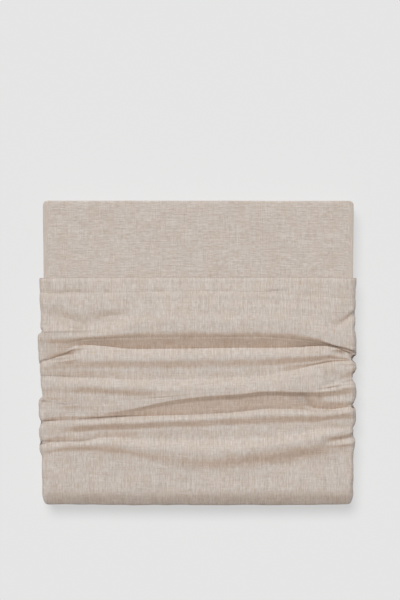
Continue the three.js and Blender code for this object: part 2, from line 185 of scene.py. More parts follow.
FOLD_LINES = (
    FoldLine(
        "hem edge",
        y=(85, 85.4, 85.8, 86, 86, 86.1, 86, 86, 86, 86, 85.9, 85.6, 85),
        rise=(0.4,) * 13,
        steps=4, start=0.0, end=0.6,
    ),
    FoldLine(
        "hem crown",
        y=(81, 81.5, 82, 82, 82, 82, 82, 82, 82, 82, 82, 81.5, 81),
        rise=(1.3, 1.4, 1.6, 1.7, 1.8, 1.8, 1.8, 1.8, 1.8, 1.8, 1.7, 1.5, 1.3),
        steps=9, end=0.15,
    ),
    FoldLine(
        "hem stitching",
        y=(69.7, 68.5, 69, 69.7, 70.3, 70.8, 71.4, 70.8, 69.7, 67.4, 65, 64, 62.8),
        rise=(1.2, 1.4, 2, 2.7, 3.1, 3.4, 3.4, 3.4, 3.4, 3.1, 2.6, 2, 1.3),
        steps=6, start=0.1, end=0.5,
    ),
    FoldLine(
        "band under the stitching",
        y=(62, 61, 61.5, 62, 62.5, 63, 63.5, 63, 62, 60, 57.5, 56.5, 55.5),
        rise=(2, 2.4, 3, 3.9, 4.4, 4.8, 4.8, 4.8, 4.7, 4.3, 3.8, 3, 2.1),
        steps=10,
    ),
    FoldLine(
        "first slope",
        y=(50, 46, 43, 43, 46, 48, 50, 50, 50, 49, 47, 46, 44),
        rise=(2.6, 3.2, 4, 5.2, 6.2, 6.7, 6.8, 6.8, 6.8, 6.3, 5.5, 4.4, 3),
        steps=16, end=0.45,
    ),
    FoldLine(
        "turned edge over the first crest",
        y=(24.2, 24.4, 24.6, 25.6, 28.5, 31, 31.5, 31.5, 31.5, 28.5, 23, 15, 9),
        rise=(4.1, 5.8, 7.6, 8.7, 9.3, 9.3, 9.3, 9.3, 9.3, 9, 8.6, 7.7, 4.9),
        steps=6, start=0.3, end=0.5,
        tuck=(1.2, 1.1, 1.0, 0.4, 0, 0, 0, 0, 0, 0, 0, 0, 0),
    ),
    FoldLine(
        "first crest",
        y=(17.9, 19.1, 20.2, 21.4, 23.9, 25.5, 25.5, 25.5, 25.5, 22.5, 17.5, 10.4, 4.5),
        rise=(4.6, 6.2, 7.8, 8.8, 9.4, 9.4, 9.4, 9.4, 9.4, 9.1, 8.7, 7.8, 5),
        steps=9, start=0.8, end=0.0,
    ),
    FoldLine(
        "under the first crest",
        y=(11, 10.5, 14.4, 15.6, 17, 17.6, 17.6, 17.8, 17.6, 14.7, 12, 8.3, 1.8),
        rise=(3.1, 3.2, 4.3, 5.8, 6.5, 6.5, 6.5, 6.5, 6.4, 5.6, 5.2, 4.3, 2.9),
        steps=12, start=0.1, end=0.0,
    ),
    FoldLine(
        "first valley",
        y=(-9.6, -2.6, 8.2, 7.2, 4.1, 4.1, 4.7, 5.3, 5.3, 5.9, 7, 6.3, -1.6),
        rise=(0.5, 0.6, 0.9, 0.8, 0.5, 0.4, 0.4, 0.4, 0.4, 0.4, 0.4, 0.3, 0.3),
        steps=11, start=0.0, end=0.7,
        tuck=(0.7, 0.5, 0.7, 0.9, 0.8, 0.7, 0.7, 0.7, 0.7, 0.9, 1.2, 1.3, 1.2),
    ),
    FoldLine(
        "second crest",
        y=(-15.4, -8.5, -8, -8, -7.5, -7.5, -6.5, -6.2, -5, -3.6, -2.6, -1.8, -6.8),
        rise=(3.2, 5, 5.8, 6.2, 6.4, 6.4, 6.4, 6.2, 6.2, 5.8, 5, 4, 1.6),
        steps=10, start=0.3, end=0.3,
    ),
    FoldLine(
        "second slope",
        y=(-21, -20, -19.5, -19.5, -19.5, -19.5, -19.5, -18, -16.5, -13, -11, -8, -9),
        rise=(2.4, 2.9, 3.3, 3.4, 3.4, 3.3, 3.2, 3.3, 3.2, 2.5, 1.8, 1.2, 0.8),
        steps=8, start=0.3, end=0.2,
    ),
    FoldLine(
        "second valley",
        y=(-26.3, -28, -28.6, -29.6, -31, -31, -30, -28, -25.5, -19.4, -14.6, -11.6, -10.2),
        rise=(2, 2.2, 2.4, 2.4, 2.4, 2.4, 2.5, 2.7, 2.8, 1.8, 1, 0.6, 0.5),
        steps=10, start=0.0, end=0.6,
        tuck=(0.6, 0.9, 1, 0.9, 0.4, 0, 0, 0, 0, 0.8, 1.4, 1.6, 1.4),
    ),
    FoldLine(
        "third crest",
        y=(-38.4, -38, -37.5, -39, -40.7, -43, -41.9, -40.5, -37.5, -29.2, -25.8, -21.2, -18.9),
        rise=(3.2, 5.4, 7.4, 8.2, 8.8, 8.6, 9, 9.3, 9.2, 8.6, 7.6, 6.2, 4.4),
        steps=8, end=0.3,
    ),
    FoldLine(
        "third crease",
        y=(-50.4, -48.6, -48, -48.6, -51, -49.8, -46, -43.4, -40.2, -37.6, -38, -36, -32),
        rise=(0.9, 3.8, 4.6, 5.4, 6.2, 8, 9.2, 9.5, 9.4, 9.6, 8.8, 4.4, 0.8),
        steps=6, start=0.3,
    ),
    FoldLine(
        "turned corner of the third fold",
        y=(-53.6, -57.6, -60.3, -61, -55.5, -52, -48.3, -45.4, -42, -41.2, -41.6, -39.6, -36),
        rise=(1.4, 3.6, 4.4, 5.0, 6.0, 7.4, 9.1, 9.4, 9.4, 9.6, 8.9, 6.2, 3),
        steps=6, start=0.3,
        tuck=(1.4, 1.1, 0.8, 0.2, 0, 0, 0, 0, 0, 0, 0, 0, 0),
    ),
    FoldLine(
        "third brink",
        y=(-68.3, -67.5, -67.5, -68.4, -64, -56.5, -50, -47, -43.7, -44.6, -44.8, -42.8, -39.6),
        rise=(3.6, 3.9, 4.2, 4.6, 5.8, 7, 9, 9.3, 9.4, 9.6, 8.8, 7.2, 4.6),
        steps=7, start=0.15, end=0.0,
    ),
    FoldLine(
        "third floor",
        y=(-75.2, -73, -73, -72.8, -68.6, -61.8, -55.6, -52.6, -49.2, -50, -50.4, -50, -47),
        rise=(3.1, 3.4, 3.5, 3.4, 3, 3.5, 5, 5.1, 5.1, 5.1, 4.9, 3.4, 1.8),
        steps=10, start=0.0, end=0.0,
    ),
    FoldLine(
        "third valley",
        y=(-79.2, -77.5, -76.6, -75.4, -74, -72.8, -71.4, -68.6, -65, -65.6, -66.4, -65.6, -62.6),
        rise=(2.4, 2.8, 2.8, 2.4, 0.6, 0.3, 0.3, 0.3, 0.3, 0.3, 0.3, 0.3, 0.3),
        steps=7, start=0.0, end=0.75,
        tuck=(1, 1.1, 1.2, 1.5, 1.4, 1.2, 1, 1, 1, 1, 1, 1, 1.1),
    ),
    FoldLine(
        "fourth crest",
        y=(-85, -82, -82, -80.5, -80, -78, -76, -73.4, -71, -70.8, -71.4, -71, -68),
        rise=(3.8, 5.2, 7, 7.2, 6.8, 6.3, 6.1, 6, 6, 6, 5.6, 5, 4.2),
        steps=10, start=0.3, end=0.3,
    ),
    FoldLine(
        "fourth slope",
        y=(-97, -94, -92, -90, -89.5, -87.5, -86, -84, -83.5, -81.5, -81, -78, -77),
        rise=(2.4, 3.2, 3.3, 3.2, 3, 2.8, 2.7, 2.7, 2.8, 2.7, 2.4, 2.4, 1.6),
        steps=9, start=0.3, end=0.2,
    ),
    FoldLine(
        "fourth valley",
        y=(-104, -102, -102, -97.8, -98.6, -99.5, -98.5, -98, -96.5, -92.5, -88.5, -86, -87),
        rise=(1.6, 2.2, 2.4, 2, 1.6, 1.8, 1.9, 2, 2, 1.9, 1.6, 1.7, 1),
        steps=14, start=0.3, end=0.5,
        tuck=(0.8, 1, 1, 0.8, 0.3, 0, 0, 0, 0, 0, 0.2, 0.5, 0.8),
    ),
    FoldLine(
        "fifth crest",
        y=(-109.7, -106.4, -105, -104.6, -107.5, -111.5, -114, -112.5, -108, -103.5, -99, -94.5, -93),
        rise=(3, 4.6, 5.6, 6, 6.4, 6.2, 7, 8, 8.3, 8.4, 7.8, 6, 3.4),
        steps=16, start=0.45, end=0.5,
    ),
    FoldLine(
        "fifth foot",
        y=(-118, -115, -115, -117, -123, -132, -140, -138.6, -134, -129, -125, -120, -115),
        rise=(1.4, 2.4, 2.6, 2.8, 2.8, 2.8, 2.2, 1.7, 1.4, 1.3, 1.3, 1.2, 0.8),
        steps=14, start=0.0, end=0.0,
    ),
    FoldLine(
        "edge roll",
        y=(-157.0,) * 13,
        rise=(0.5, 0.7, 0.9, 1.1, 1.3, 1.3, 1.3, 1.3, 1.3, 1.2, 1.1, 0.9, 0.6),
        steps=1,
    ),
)

# Which of these lines the stitches follow.
SEAM_LINE = 2

# How far the gathers stand out of the pocket's plain sides, as (y, reach) from the hem to the closed end. A
# gather that comes out from under the one before it makes a notch.
LEFT_REACH = (
    (86, 2.6), (51, 2.6), (40, 1.8), (28, 1.6), (24.5, -0.6), (20.5, 4.6), (16, 5.2), (5, 5.2), (0, 4.1),
    (-8, 3.9), (-14, 3.0), (-22, 2.8), (-27, 1.9), (-37, 1.6), (-42, 0.7), (-50, -0.7), (-55, 3.9),
    (-60, 4.4), (-72, 4.2), (-78, 2.0), (-83, 2.0), (-88, 3.9), (-96, 4.1), (-101, 3.2), (-113, 3.3),
    (-120, 0.8), (-163, 0.9), (-170, 0.8),
)
RIGHT_REACH = (
    (86, 2.0), (79, 1.9), (73, 1.0), (34, 0.9), (28, -0.1), (23, 1.2), (15, 2.2), (-3, 2.3), (-8.5, -1.8),
    (-12, 1.6), (-18, 2.4), (-25, -0.4), (-31.5, -1.8), (-36, 1.4), (-45, 2.4), (-51, 2.2), (-58, -0.6),
    (-60, -0.4), (-65, 1.4), (-73, 2.4), (-78, 2.3), (-82, 1.0), (-87, -1.9), (-91, 0.2), (-97, 0.6),
    (-103, 1.6), (-110, 0.6), (-114, -0.6), (-152, -0.5), (-170, -0.6),
)


class MarkKind(Enum):
    """What a small crease in the cloth looks like."""

    TROUGH = "a soft line pressed into the cloth"
    RIDGE = "a soft line that stands up"
    # A crevice only paints shade into the cloth's colour; it does not move the cloth.
    CREVICE = "a thin dark line where one layer of the cloth goes under another"


@dataclass(frozen=True)
class Mark:
    """One small crease, set out over the gathers.

    Attributes:
        kind: What it looks like.
        line: The (x, y) points that it runs through.
        width: How wide it is.
        depth: How deep or high it is at each point of the line, 0 where it has died out. For a crevice it
        is how much shade is painted there, up to 1 where hardly any light comes back.
    """

    kind: MarkKind
    line: tuple[tuple[float, float], ...]
    width: float
    depth: tuple[float, ...]

    def strength(self, x: Points, y: Points) -> Points:
        """Works out how strongly the crease shows.

        Args:
            x, y: Where each point lies, across the cover and along it.

        Returns:
            The crease's depth at each point, less and less away from its line.
        """
        nearest = np.full(x.shape, np.inf)
        depth = np.zeros(x.shape)
        for (x0, y0), (x1, y1), d0, d1 in zip(self.line, self.line[1:], self.depth, self.depth[1:]):
            along_x, along_y = x1 - x0, y1 - y0
            reached = (x - x0) * along_x + (y - y0) * along_y
            share = np.clip(reached / (along_x**2 + along_y**2), 0.0, 1.0)
            away = np.hypot(x - x0 - share * along_x, y - y0 - share * along_y)
            closer = away < nearest
            nearest = np.where(closer, away, nearest)
            depth = np.where(closer, mix(d0, d1, share), depth)
        return depth * np.exp(-((nearest / self.width) ** 2) * 2.0)

    def lift(self, x: Points, y: Points) -> Points:
        """Works out how far the crease moves the cloth up, below 0 where the cloth is pressed down."""
        return self.strength(x, y) * (1.0 if self.kind is MarkKind.RIDGE else -1.0)


# The kinds by themselves, for the list.
TROUGH, RIDGE, CREVICE = MarkKind

# A crevice in this list is painted shade: a dark line or patch in the cloth's colour, with no relief.
MARKS = (
    # Puckers along the hem's stitching, where the turned cloth is drawn in, with faint painted shade along
    # two of them.
    Mark(TROUGH, ((-162, 68.6), (-150, 69.4), (-138, 69.6), (-130, 68.6)), 3.4, (0.0, 1.3, 1.3, 0.0)),
    Mark(TROUGH, ((-112, 71.6), (-104, 69), (-96, 66)), 3.6, (0.2, 1.5, 0.0)),
    Mark(TROUGH, ((-58, 71.4), (-46, 70), (-34, 71)), 3.2, (0.0, 1.0, 0.0)),
    Mark(TROUGH, ((16, 72), (30, 69.4), (42, 70.6)), 3.4, (0.0, 1.1, 0.0)),
    Mark(TROUGH, ((72, 69.6), (90, 70.6), (106, 71.6)), 2.8, (0.0, 1.4, 0.4)),
    Mark(TROUGH, ((118, 69), (130, 66), (140, 66.4)), 3.6, (0.0, 1.2, 0.0)),
    Mark(CREVICE, ((76, 71.2), (90, 72), (110, 72.6)), 1.3, (0.0, 0.22, 0.0)),
    Mark(CREVICE, ((-176, 71), (-156, 70.4), (-140, 71), (-124, 69.6)), 2.4, (0.0, 0.12, 0.1, 0.0)),
    # Left of the first gather: a soft trough that runs down from the edge and dies out towards the middle.
    Mark(TROUGH, ((-184, 51), (-168, 44.5), (-156, 37), (-145, 31.6), (-130, 29.6), (-113, 31.6), (-96, 37),
                  (-80, 45), (-60, 54)), 13.0, (0.9, 2.4, 3.6, 4.3, 4.4, 3.8, 2.5, 1.0, 0.0)),
    Mark(TROUGH, ((-132, 42), (-108, 41), (-86, 43.5), (-60, 49)), 9.0, (0.0, 1.6, 1.3, 0.0)),
    # A line of painted shade along the edge of cloth that shows over the left end of the first gather.
    Mark(CREVICE, ((-180, 23.6), (-159, 23.9), (-136, 24.4), (-116, 25.2)), 1.3, (0.3, 0.35, 0.3, 0.0)),
    # The loop at the left end of the first valley, hollow under a thin rim, with painted shade along the rim
    # and in the hollow.
    Mark(RIDGE, ((-156, -2.4), (-148, 2.2), (-140, 5.4), (-130, 6), (-118, 5.2)), 2.2,
         (0.2, 1.8, 2.4, 1.6, 0.0)),
    Mark(TROUGH, ((-170, -7), (-158, -6), (-147, -3), (-134, 0.5)), 4.2, (0.8, 3.6, 4.2, 0.3)),
    Mark(RIDGE, ((-176, -11), (-163, -9.4), (-148, -8.4), (-132, -5)), 2.6, (0.3, 1.3, 1.3, 0.0)),
    Mark(CREVICE, ((-184, -12), (-178, -8.6), (-168, -6.4), (-159, -3), (-150, 2), (-143, 5.4)), 1.5,
         (0.7, 0.6, 0.5, 0.35, 0.15, 0.0)),
    Mark(CREVICE, ((-166, -5.4), (-152, -1.6), (-138, 2.6)), 5.0, (0.0, 0.2, 0.06)),
    Mark(CREVICE, ((-170, -7.6), (-158, -7.2), (-146, -5.6)), 1.4, (0.0, 0.25, 0.0)),
    # Right of the first gather: a short dark crease off the edge, and the dent where it ends.
    Mark(TROUGH, ((186, 47), (179, 44), (168, 35.5), (160, 32.5)), 4.6, (1.6, 3.6, 3.2, 0.8)),
    Mark(TROUGH, ((162, 34), (150, 31.5), (138, 34)), 6.0, (1.0, 1.4, 0.0)),
    # The line of painted shade where the first crest pinches in at the right.
    Mark(CREVICE, ((138, 12.6), (148, 9.6), (157, 7.6), (168, 6), (176, 2.4), (182, -1)), 1.4,
         (0.0, 0.2, 0.5, 0.5, 0.45, 0.4)),
    # The small hollow under the pinched crest, with painted shade in it, and its thin upper rim.
    Mark(TROUGH, ((155, 0.5), (162, -0.5), (170, -3.5)), 4.2, (0.8, 2.4, 0.4)),
    Mark(CREVICE, ((157, 1.8), (164, 0), (171, -3)), 3.0, (0.0, 0.3, 0.0)),
    Mark(RIDGE, ((150, 2.5), (160, 4.2), (170, 2.2), (178, -2)), 1.8, (0.2, 1.1, 1.2, 0.8)),
    # The flap at the right end of the third fold, and the soft hollow in it.
    Mark(RIDGE, ((120, -18.5), (152, -13.2), (176, -12.4)), 1.8, (0.4, 1.1, 1.0)),
    Mark(TROUGH, ((139, -22), (150, -24.5), (163, -26)), 6.5, (0.8, 1.8, 0.4)),
    Mark(RIDGE, ((149, -38.6), (166, -33.6), (177, -30)), 2.4, (0.4, 1.3, 1.4)),
    Mark(TROUGH, ((140, -42), (152, -41), (165, -38)), 3.0, (0.6, 1.4, 0.4)),
    # The thin lines of painted shade at the left ends of the second valley and of the third fold's turned
    # corner, and a ridge beside the second.
    Mark(CREVICE, ((-184, -26), (-159, -26.7), (-136, -27.6), (-115, -29.2)), 1.2, (0.35, 0.3, 0.3, 0.0)),
    Mark(CREVICE, ((-185, -52.6), (-179, -55), (-168, -57.6), (-157, -58.8), (-145, -58.4), (-134, -57.2)),
         1.4, (0.6, 0.5, 0.4, 0.4, 0.35, 0.0)),
    Mark(RIDGE, ((-181, -57.4), (-168, -60.2), (-157, -61.4), (-145, -61), (-134, -59.8)), 1.8,
         (0.4, 0.8, 0.8, 0.7, 0.0)),
    # The light hump at the right end of the deep band, between two dark troughs, the left one with a soft
    # patch of painted shade.
    Mark(RIDGE, ((137, -55), (152, -56.5), (172, -56)), 6.0, (0.0, 2.0, 1.6)),
    Mark(TROUGH, ((122, -60.6), (134, -64), (150, -65.4), (168, -65.4), (178, -64)), 1.9,
         (0.6, 1.6, 1.2, 1.0, 0.8)),
    Mark(TROUGH, ((114, -46), (120, -50), (124, -56), (132, -62)), 5.5, (0.3, 1.6, 1.6, 0.6)),
    Mark(CREVICE, ((104, -52), (116, -51), (123, -56), (132, -62)), 7.0, (0.0, 0.2, 0.2, 0.0)),
    # The left ends of the fourth and fifth folds, with lines of painted shade under the lips that lead into
    # them, and a soft band of painted shade along the third valley.
    Mark(TROUGH, ((-184, -80.6), (-174, -79.4), (-160, -78)), 2.0, (2.0, 1.2, 0.0)),
    Mark(CREVICE, ((-184, -81.4), (-174, -78.8), (-159, -77.6), (-136, -76.6), (-113, -75), (-96, -73.8),
                   (-78, -72.6), (-56, -71.6)), 1.3, (0.4, 0.15, 0.25, 0.35, 0.6, 0.5, 0.3, 0.0)),
    Mark(CREVICE, ((-60, -70.8), (2, -69), (48, -66), (82, -62.4), (110, -63)), 2.6,
         (0.0, 0.12, 0.18, 0.18, 0.0)),
    Mark(TROUGH, ((-184, -103.6), (-174, -102.6), (-160, -101.4)), 2.0, (2.0, 1.0, 0.0)),
    Mark(CREVICE, ((-184, -106), (-171, -102.4), (-157, -101.8), (-145, -101.6), (-133, -101), (-118, -98)),
         1.3, (0.7, 0.3, 0.25, 0.3, 0.3, 0.0)),
    Mark(TROUGH, ((-158, -90), (-140, -92), (-120, -91)), 6.0, (0.0, 0.9, 0.0)),
    # The right ends of the fourth and fifth folds, with soft painted shade in the hollow.
    Mark(RIDGE, ((158, -91), (168, -89.6), (178, -87)), 2.2, (0.2, 1.0, 0.4)),
    Mark(TROUGH, ((146, -102.5), (160, -100.5), (177, -98)), 4.6, (0.6, 3.0, 2.4)),
    Mark(CREVICE, ((150, -101), (162, -98.6), (176, -95.6)), 3.0, (0.0, 0.15, 0.2)),
    Mark(RIDGE, ((150, -106.5), (164, -105.4), (176, -104.2), (183, -99)), 2.2, (0.2, 1.2, 1.2, 0.4)),
    # Small wavy creases low on the right, left by the wash, with faint lines of painted shade beside two of
    # them.
    Mark(RIDGE, ((140.5, -131), (142.5, -141), (144, -149), (148, -160)), 2.6, (0.0, 1.5, 1.5, 0.0)),
    Mark(CREVICE, ((143, -132), (145, -141), (146.5, -149), (150.5, -160)), 1.5, (0.0, 0.1, 0.1, 0.0)),
    Mark(RIDGE, ((157, -127), (156, -138), (159, -147), (163, -159)), 2.8, (0.0, 1.1, 1.3, 0.0)),
    Mark(CREVICE, ((160, -128), (158.6, -137), (161.6, -147), (165, -156)), 1.6, (0.0, 0.07, 0.09, 0.0)),
    Mark(RIDGE, ((114, -136), (117, -144), (116, -152), (118, -161)), 2.8, (0.0, 0.8, 0.9, 0.0)),
    # Pockets of shade where the gathers pinch at the right edge.
    Mark(TROUGH, ((176, -6), (181, -6.5), (190, -7)), 3.2, (2.0, 3.6, 3.0)),
    Mark(TROUGH, ((177, -26), (181, -27), (190, -28)), 4.5, (0.6, 2.6, 3.0)),
    Mark(TROUGH, ((174, -60), (181, -61), (190, -61)), 2.6, (1.0, 3.2, 3.0)),
    Mark(TROUGH, ((176, -93.5), (181, -94), (190, -94)), 3.8, (1.0, 3.4, 3.0)),
)

# The crevices paint shade into the cloth's colour; the other marks move the cloth.
CREVICES = tuple(mark for mark in MARKS if mark.kind is CREVICE)
RELIEF_MARKS = tuple(mark for mark in MARKS if mark.kind is not CREVICE)

# Where shade is painted because hardly any light gets in between two gathers, as (x, y, width, length) of
# each spot of painted shade.
DEEP_PINCHES = (
    (179.5, -6.4, 3.6, 5.0), (179.8, -27.0, 2.8, 7.0), (178.5, -61.2, 3.4, 3.2), (180.0, -94.2, 2.8, 5.4),
    (-181.5, -80.4, 2.4, 2.2), (-181.5, -103.8, 2.4, 2.2),
)


@dataclass(frozen=True)
class Rumple:
    """A soft, fixed unevenness that the wash has left in the cloth.

    Attributes:
        height: How strong it is.
        wide: How large it is across the cover.
        long: How large it is along the cover.
        seed: A number that picks one unevenness out of many.
    """

    height: float
    wide: float
    long: float
    seed: float

    def over(self, x: Points, y: Points) -> Points:
        """Works out the unevenness over a grid of places.

        Args:
            x, y: Where each point lies, across the cover and along it.

        Returns:
            How far each point is moved up, or down where it is below 0.
        """
        values = [wander(a / self.wide, b / self.long, self.seed) for a, b in zip(x.ravel(), y.ravel())]
        return self.height * np.array(values).reshape(x.shape)


# All over the pocket.
RUMPLES = (Rumple(0.42, 46.0, 15.0, 3.1), Rumple(0.48, 21.0, 13.0, 12.9), Rumple(0.22, 11.0, 7.0, 8.7))

# Down the sides alone. It sets in softly between these two distances from the middle of the cloth.
SIDE_RUMPLE = Rumple(0.8, 60.0, 9.0, 5.3)
SIDE_START = (190.0, 220.0)

# Along the stitching, where the turned cloth is drawn in.
SEAM_RUMPLE = Rumple(1.0, 9.0, 16.0, 6.4)


# The cloth


@dataclass(frozen=True)
class Grid:
    """Points in rows and columns.

    Attributes:
        points: Where each point is, in three numbers.
        cloth: Its place on the cloth, across and along it, and how much painted warm shade and painted dark
        shade it gets, from 0 to 1.
    """

    points: Points
    cloth: Points


@dataclass(frozen=True)
class EdgePath:
    """The way down over an edge of the pocket, step by step.

    Attributes:
        out: How far out of the flat top the cloth is.
        height: How high it is.
        tilt: Which way it faces, from 0 for up to a quarter turn for sideways.
        loose: How much of a gather is left there.
        run: How much cloth has been used since the flat top.
    """

    out: Points
    height: Points
    tilt: Points
    loose: Points
    run: Points


@dataclass
class TurnedPocket:
    """The end of the cover, turned back round the stack as a pocket and pushed into gathers.

    Attributes:
        half_length: From the middle of the stack to its closed end and to its bare one.
        half_width: From the middle to the plain side at the hem.
        hem_y: Where the hem's edge is, at the sides.
        taper: How much narrower each side is at the closed end.
        top: How high the plain pocket stands.
        thickness: Of the pocket's cloth, two plies and the air between them.
        floor: How thick the cloth under the stack is.
        side_radius: Of the roll over the long edges.
        corner_radius: What that roll has grown to at the closed end.
        corner_start: How far from the closed end it has grown to that.
        corner_length: Over what length it grows.
        corner_fullness: How the two rolls meet, from 1 for an oval corner towards 0 for a square one.
        end_radius: Of the roll over the closed end, down to the slanted part of it.
        end_bend: How far the cloth has turned there.
        end_slant: How long the slanted part is.
        end_tight_radius: Of the rest of that roll.
        slant_share: Between which shares of the roll's steps the slanted part lies.
        foot_radius: Where the pocket turns under the stack.
        wall_fade: How much of a gather has died out at the foot of a side.
        take_up: The part of the cloth in a gather that shifts the weave.
        lip_reach: How far a lip lies over its line, for each millimetre of tuck.
        lip_rise: How far it stands up, for each millimetre of tuck.
        lip_gap: How far it stays off the line without any tuck.
        lip_depth: How deep the line goes at most.
        lip_steps: How many rows of the mesh lead from the line to the lip.
        lip_ease: How rounded the cloth is there, at both ends.
        hem_calm: How much of the unevenness is gone at the hem's edge.
        hem_calm_reach: How far from that edge the calm dies out.
        pucker_depth: How deep the puckers along the stitching are.
        pucker_width: How wide the line of puckers is.
        pucker_mean: How deep the cloth is drawn in all along, as a share of that.
        pucker_slant: How far the puckers lean.
        gathers_end: Between which two places along the cover the painted shade of the gathers ends, at the
            closed end.
        gathers_start: The same at the hem.
        warm_facing: How far the cloth faces away from the light where its painted shade is full.
        warm_outside: How much painted shade it gets outside the gathers.
        warm_edge: How much painted shade it gets at the two sides.
        side_light: Between which two distances from the middle the painted shade fades, as the light from
            the side comes in.
        spot_fade: Between which two shares of its size a spot of painted shade fades out.
        shade_depth: Between which two depths under the top the painted shade of a pinch dies out.
        rim_reach: How far the rounded edge of the hem stands out.
        rim_shade: How much painted shade it gets halfway round.
        inner_gap: How far the inner face stays under the gathers.
        crowding: How much the columns of the mesh crowd towards the sides.
    """

    half_length: float = 175.0
    half_width: float = 180.5
    hem_y: float = 85.0
    taper: float = 1.3
    top: float = 39.5
    thickness: float = 2.0
    floor: float = 1.75
    side_radius: float = 5.0
    corner_radius: float = 8.0
    corner_start: float = 12.0
    corner_length: float = 32.0
    corner_fullness: float = 0.72
    end_radius: float = 17.0
    end_bend: float = math.radians(36.0)
    end_slant: float = 8.0
    end_tight_radius: float = 4.0
    slant_share: tuple[float, float] = (0.375, 0.625)
    foot_radius: float = 3.0
    wall_fade: float = 0.7
    take_up: float = 0.35
    lip_reach: float = 0.7
    lip_rise: float = 0.9
    lip_gap: float = 0.2
    lip_depth: float = 1.2
    lip_steps: int = 3
    lip_ease: float = 0.3
    hem_calm: float = 0.6
    hem_calm_reach: float = 14.0
    pucker_depth: float = 0.8
    pucker_width: float = 2.6
    pucker_mean: float = 0.3
    pucker_slant: float = 0.8
    gathers_end: tuple[float, float] = (-150.0, -130.0)
    gathers_start: tuple[float, float] = (32.0, 60.0)
    warm_facing: float = 0.55
    warm_outside: float = 0.45
    warm_edge: float = 0.3
    side_light: tuple[float, float] = (170.0, 180.0)
    spot_fade: tuple[float, float] = (0.5, 1.1)
    shade_depth: tuple[float, float] = (15.0, 4.0)
    rim_reach: float = 0.9
    rim_shade: float = 0.45
    inner_gap: float = 0.6
    crowding: float = 0.3
    top_columns: int = 224
    roll_steps: int = 8
    wall_steps: int = 8
    foot_steps: int = 3
    rim_steps: int = 5
    inner_rows: int = 32

    @property
    def wall_end(self) -> int:
        """Gives the step at which the wall ends and the foot starts."""
        return self.roll_steps + self.wall_steps

    @property
    def edge_steps(self) -> int:
        """Gives the number of steps from the flat top to the floor."""
        return self.wall_end + self.foot_steps

    def side_roll(self, y: Points) -> Points:
        """Gives the radius of the roll over the long edges at each y, larger towards the closed end."""
        grown = self.corner_start - self.half_length
        return mix(self.corner_radius, self.side_radius, smooth_step(grown, grown + self.corner_length, y))

    def plain_half_width(self, y: Points) -> Points:
        """Gives how far the plain side is from the middle at each y."""
        return self.half_width - self.taper * (self.hem_y - y) / (self.hem_y + self.half_length)

    def edge_path(self, steps: Points, wide: Any, slant: float, tight: Any, inset: Points) -> EdgePath:
        """Follows the cloth down over an edge, in a roll that may have a slanted part in it.

        Args:
            steps: How many steps of the mesh each point is from the flat top.
            wide: The roll's radius down to the slanted part.
            slant: How long the slanted part is, or 0 for a plain roll.
            tight: The radius of the rest of the roll.
            inset: How deep in the cloth each point is, from 0 at its outer face to the whole thickness.

        Returns:
            The path at each point.
        """
        bend = self.end_bend
        share = np.clip(steps / self.roll_steps, 0.0, 1.0)
        slant_share = self.slant_share if slant > 0.0 else (bend * 2 / math.pi,) * 2
        parts = (0.0, *slant_share, 1.0)
        turned = np.interp(share, parts, (0.0, bend, bend, math.pi / 2))
        slanted = np.interp(share, parts, (0.0, 0.0, slant, slant))
        down = np.clip((steps - self.roll_steps) / self.wall_steps, 0.0, 1.0)
        under = np.clip((steps - self.wall_end) / self.foot_steps, 0.0, 1.0) * math.pi / 2
        first = np.minimum(turned, bend)
        rest = np.maximum(turned, bend)
        roll_out = wide * np.sin(first) + slanted * math.cos(bend) + tight * (np.sin(rest) - math.sin(bend))
        tight_drop = tight * (math.cos(bend) - np.cos(rest))
        roll_drop = wide * (1.0 - np.cos(first)) + slanted * math.sin(bend) + tight_drop
        shoulder = self.top - wide * (1.0 - math.cos(bend)) - slant * math.sin(bend) - tight * math.cos(bend)
        wall_foot = mix(self.foot_radius, self.floor, inset / self.thickness)
        over_roll = self.top - roll_drop - inset * np.cos(turned)
        height = np.where(down > 0.0, mix(shoulder, wall_foot, down), over_roll)
        height = np.where(under > 0.0, self.foot_radius * (1.0 - np.sin(under)), height)
        out = roll_out - inset * np.sin(turned) - self.foot_radius * (1.0 - np.cos(under))
        wall_run = (shoulder - self.foot_radius) * down + self.foot_radius * under
        run = wide * first + slanted + tight * (rest - bend) + wall_run
        loose = (1.0 - self.wall_fade * down) * (under <= 0.0)
        return EdgePath(out=out, height=height, tilt=turned + under, loose=loose, run=run)

    def rows_over_top(self, x: Points) -> tuple[Points, Points]:
        """Lays the rows of the mesh over the gathers.

        Args:
            x: Where each column of the mesh lies across the pocket.

        Returns:
            How far along and how high each point is, one row of the arrays for each row of the mesh.
        """
        lines: list[tuple[Points, Points, int, float, float]] = []
        for line in FOLD_LINES:
            y = curve_through(STATIONS, line.y, x)
            rise = curve_through(STATIONS, line.rise, x)
            if line.tuck is None:
                lines.append((y, rise, line.steps, line.start, line.end))
                continue
            tuck = np.maximum(curve_through(STATIONS, line.tuck, x), 0.0)
            reach = self.lip_reach * tuck
            low = rise - np.minimum(tuck, self.lip_depth)
            lip = rise + self.lip_rise * tuck
            lines.append((y + self.lip_gap - reach, low, self.lip_steps, self.lip_ease, self.lip_ease))
            lines.append((y - self.lip_gap + reach, lip, line.steps, line.start, line.end))
        rows_y = []
        rows_rise = []
        for (y0, rise0, steps, start, end), (y1, rise1, _, _, _) in zip(lines, lines[1:]):
            for step in range(steps):
                share = step / steps
                rows_y.append(mix(y0, y1, share))
                rows_rise.append(mix(rise0, rise1, eased(share, start, end)))
        rows_y.append(lines[-1][0])
        rows_rise.append(lines[-1][1])
        return np.array(rows_y), np.array(rows_rise)

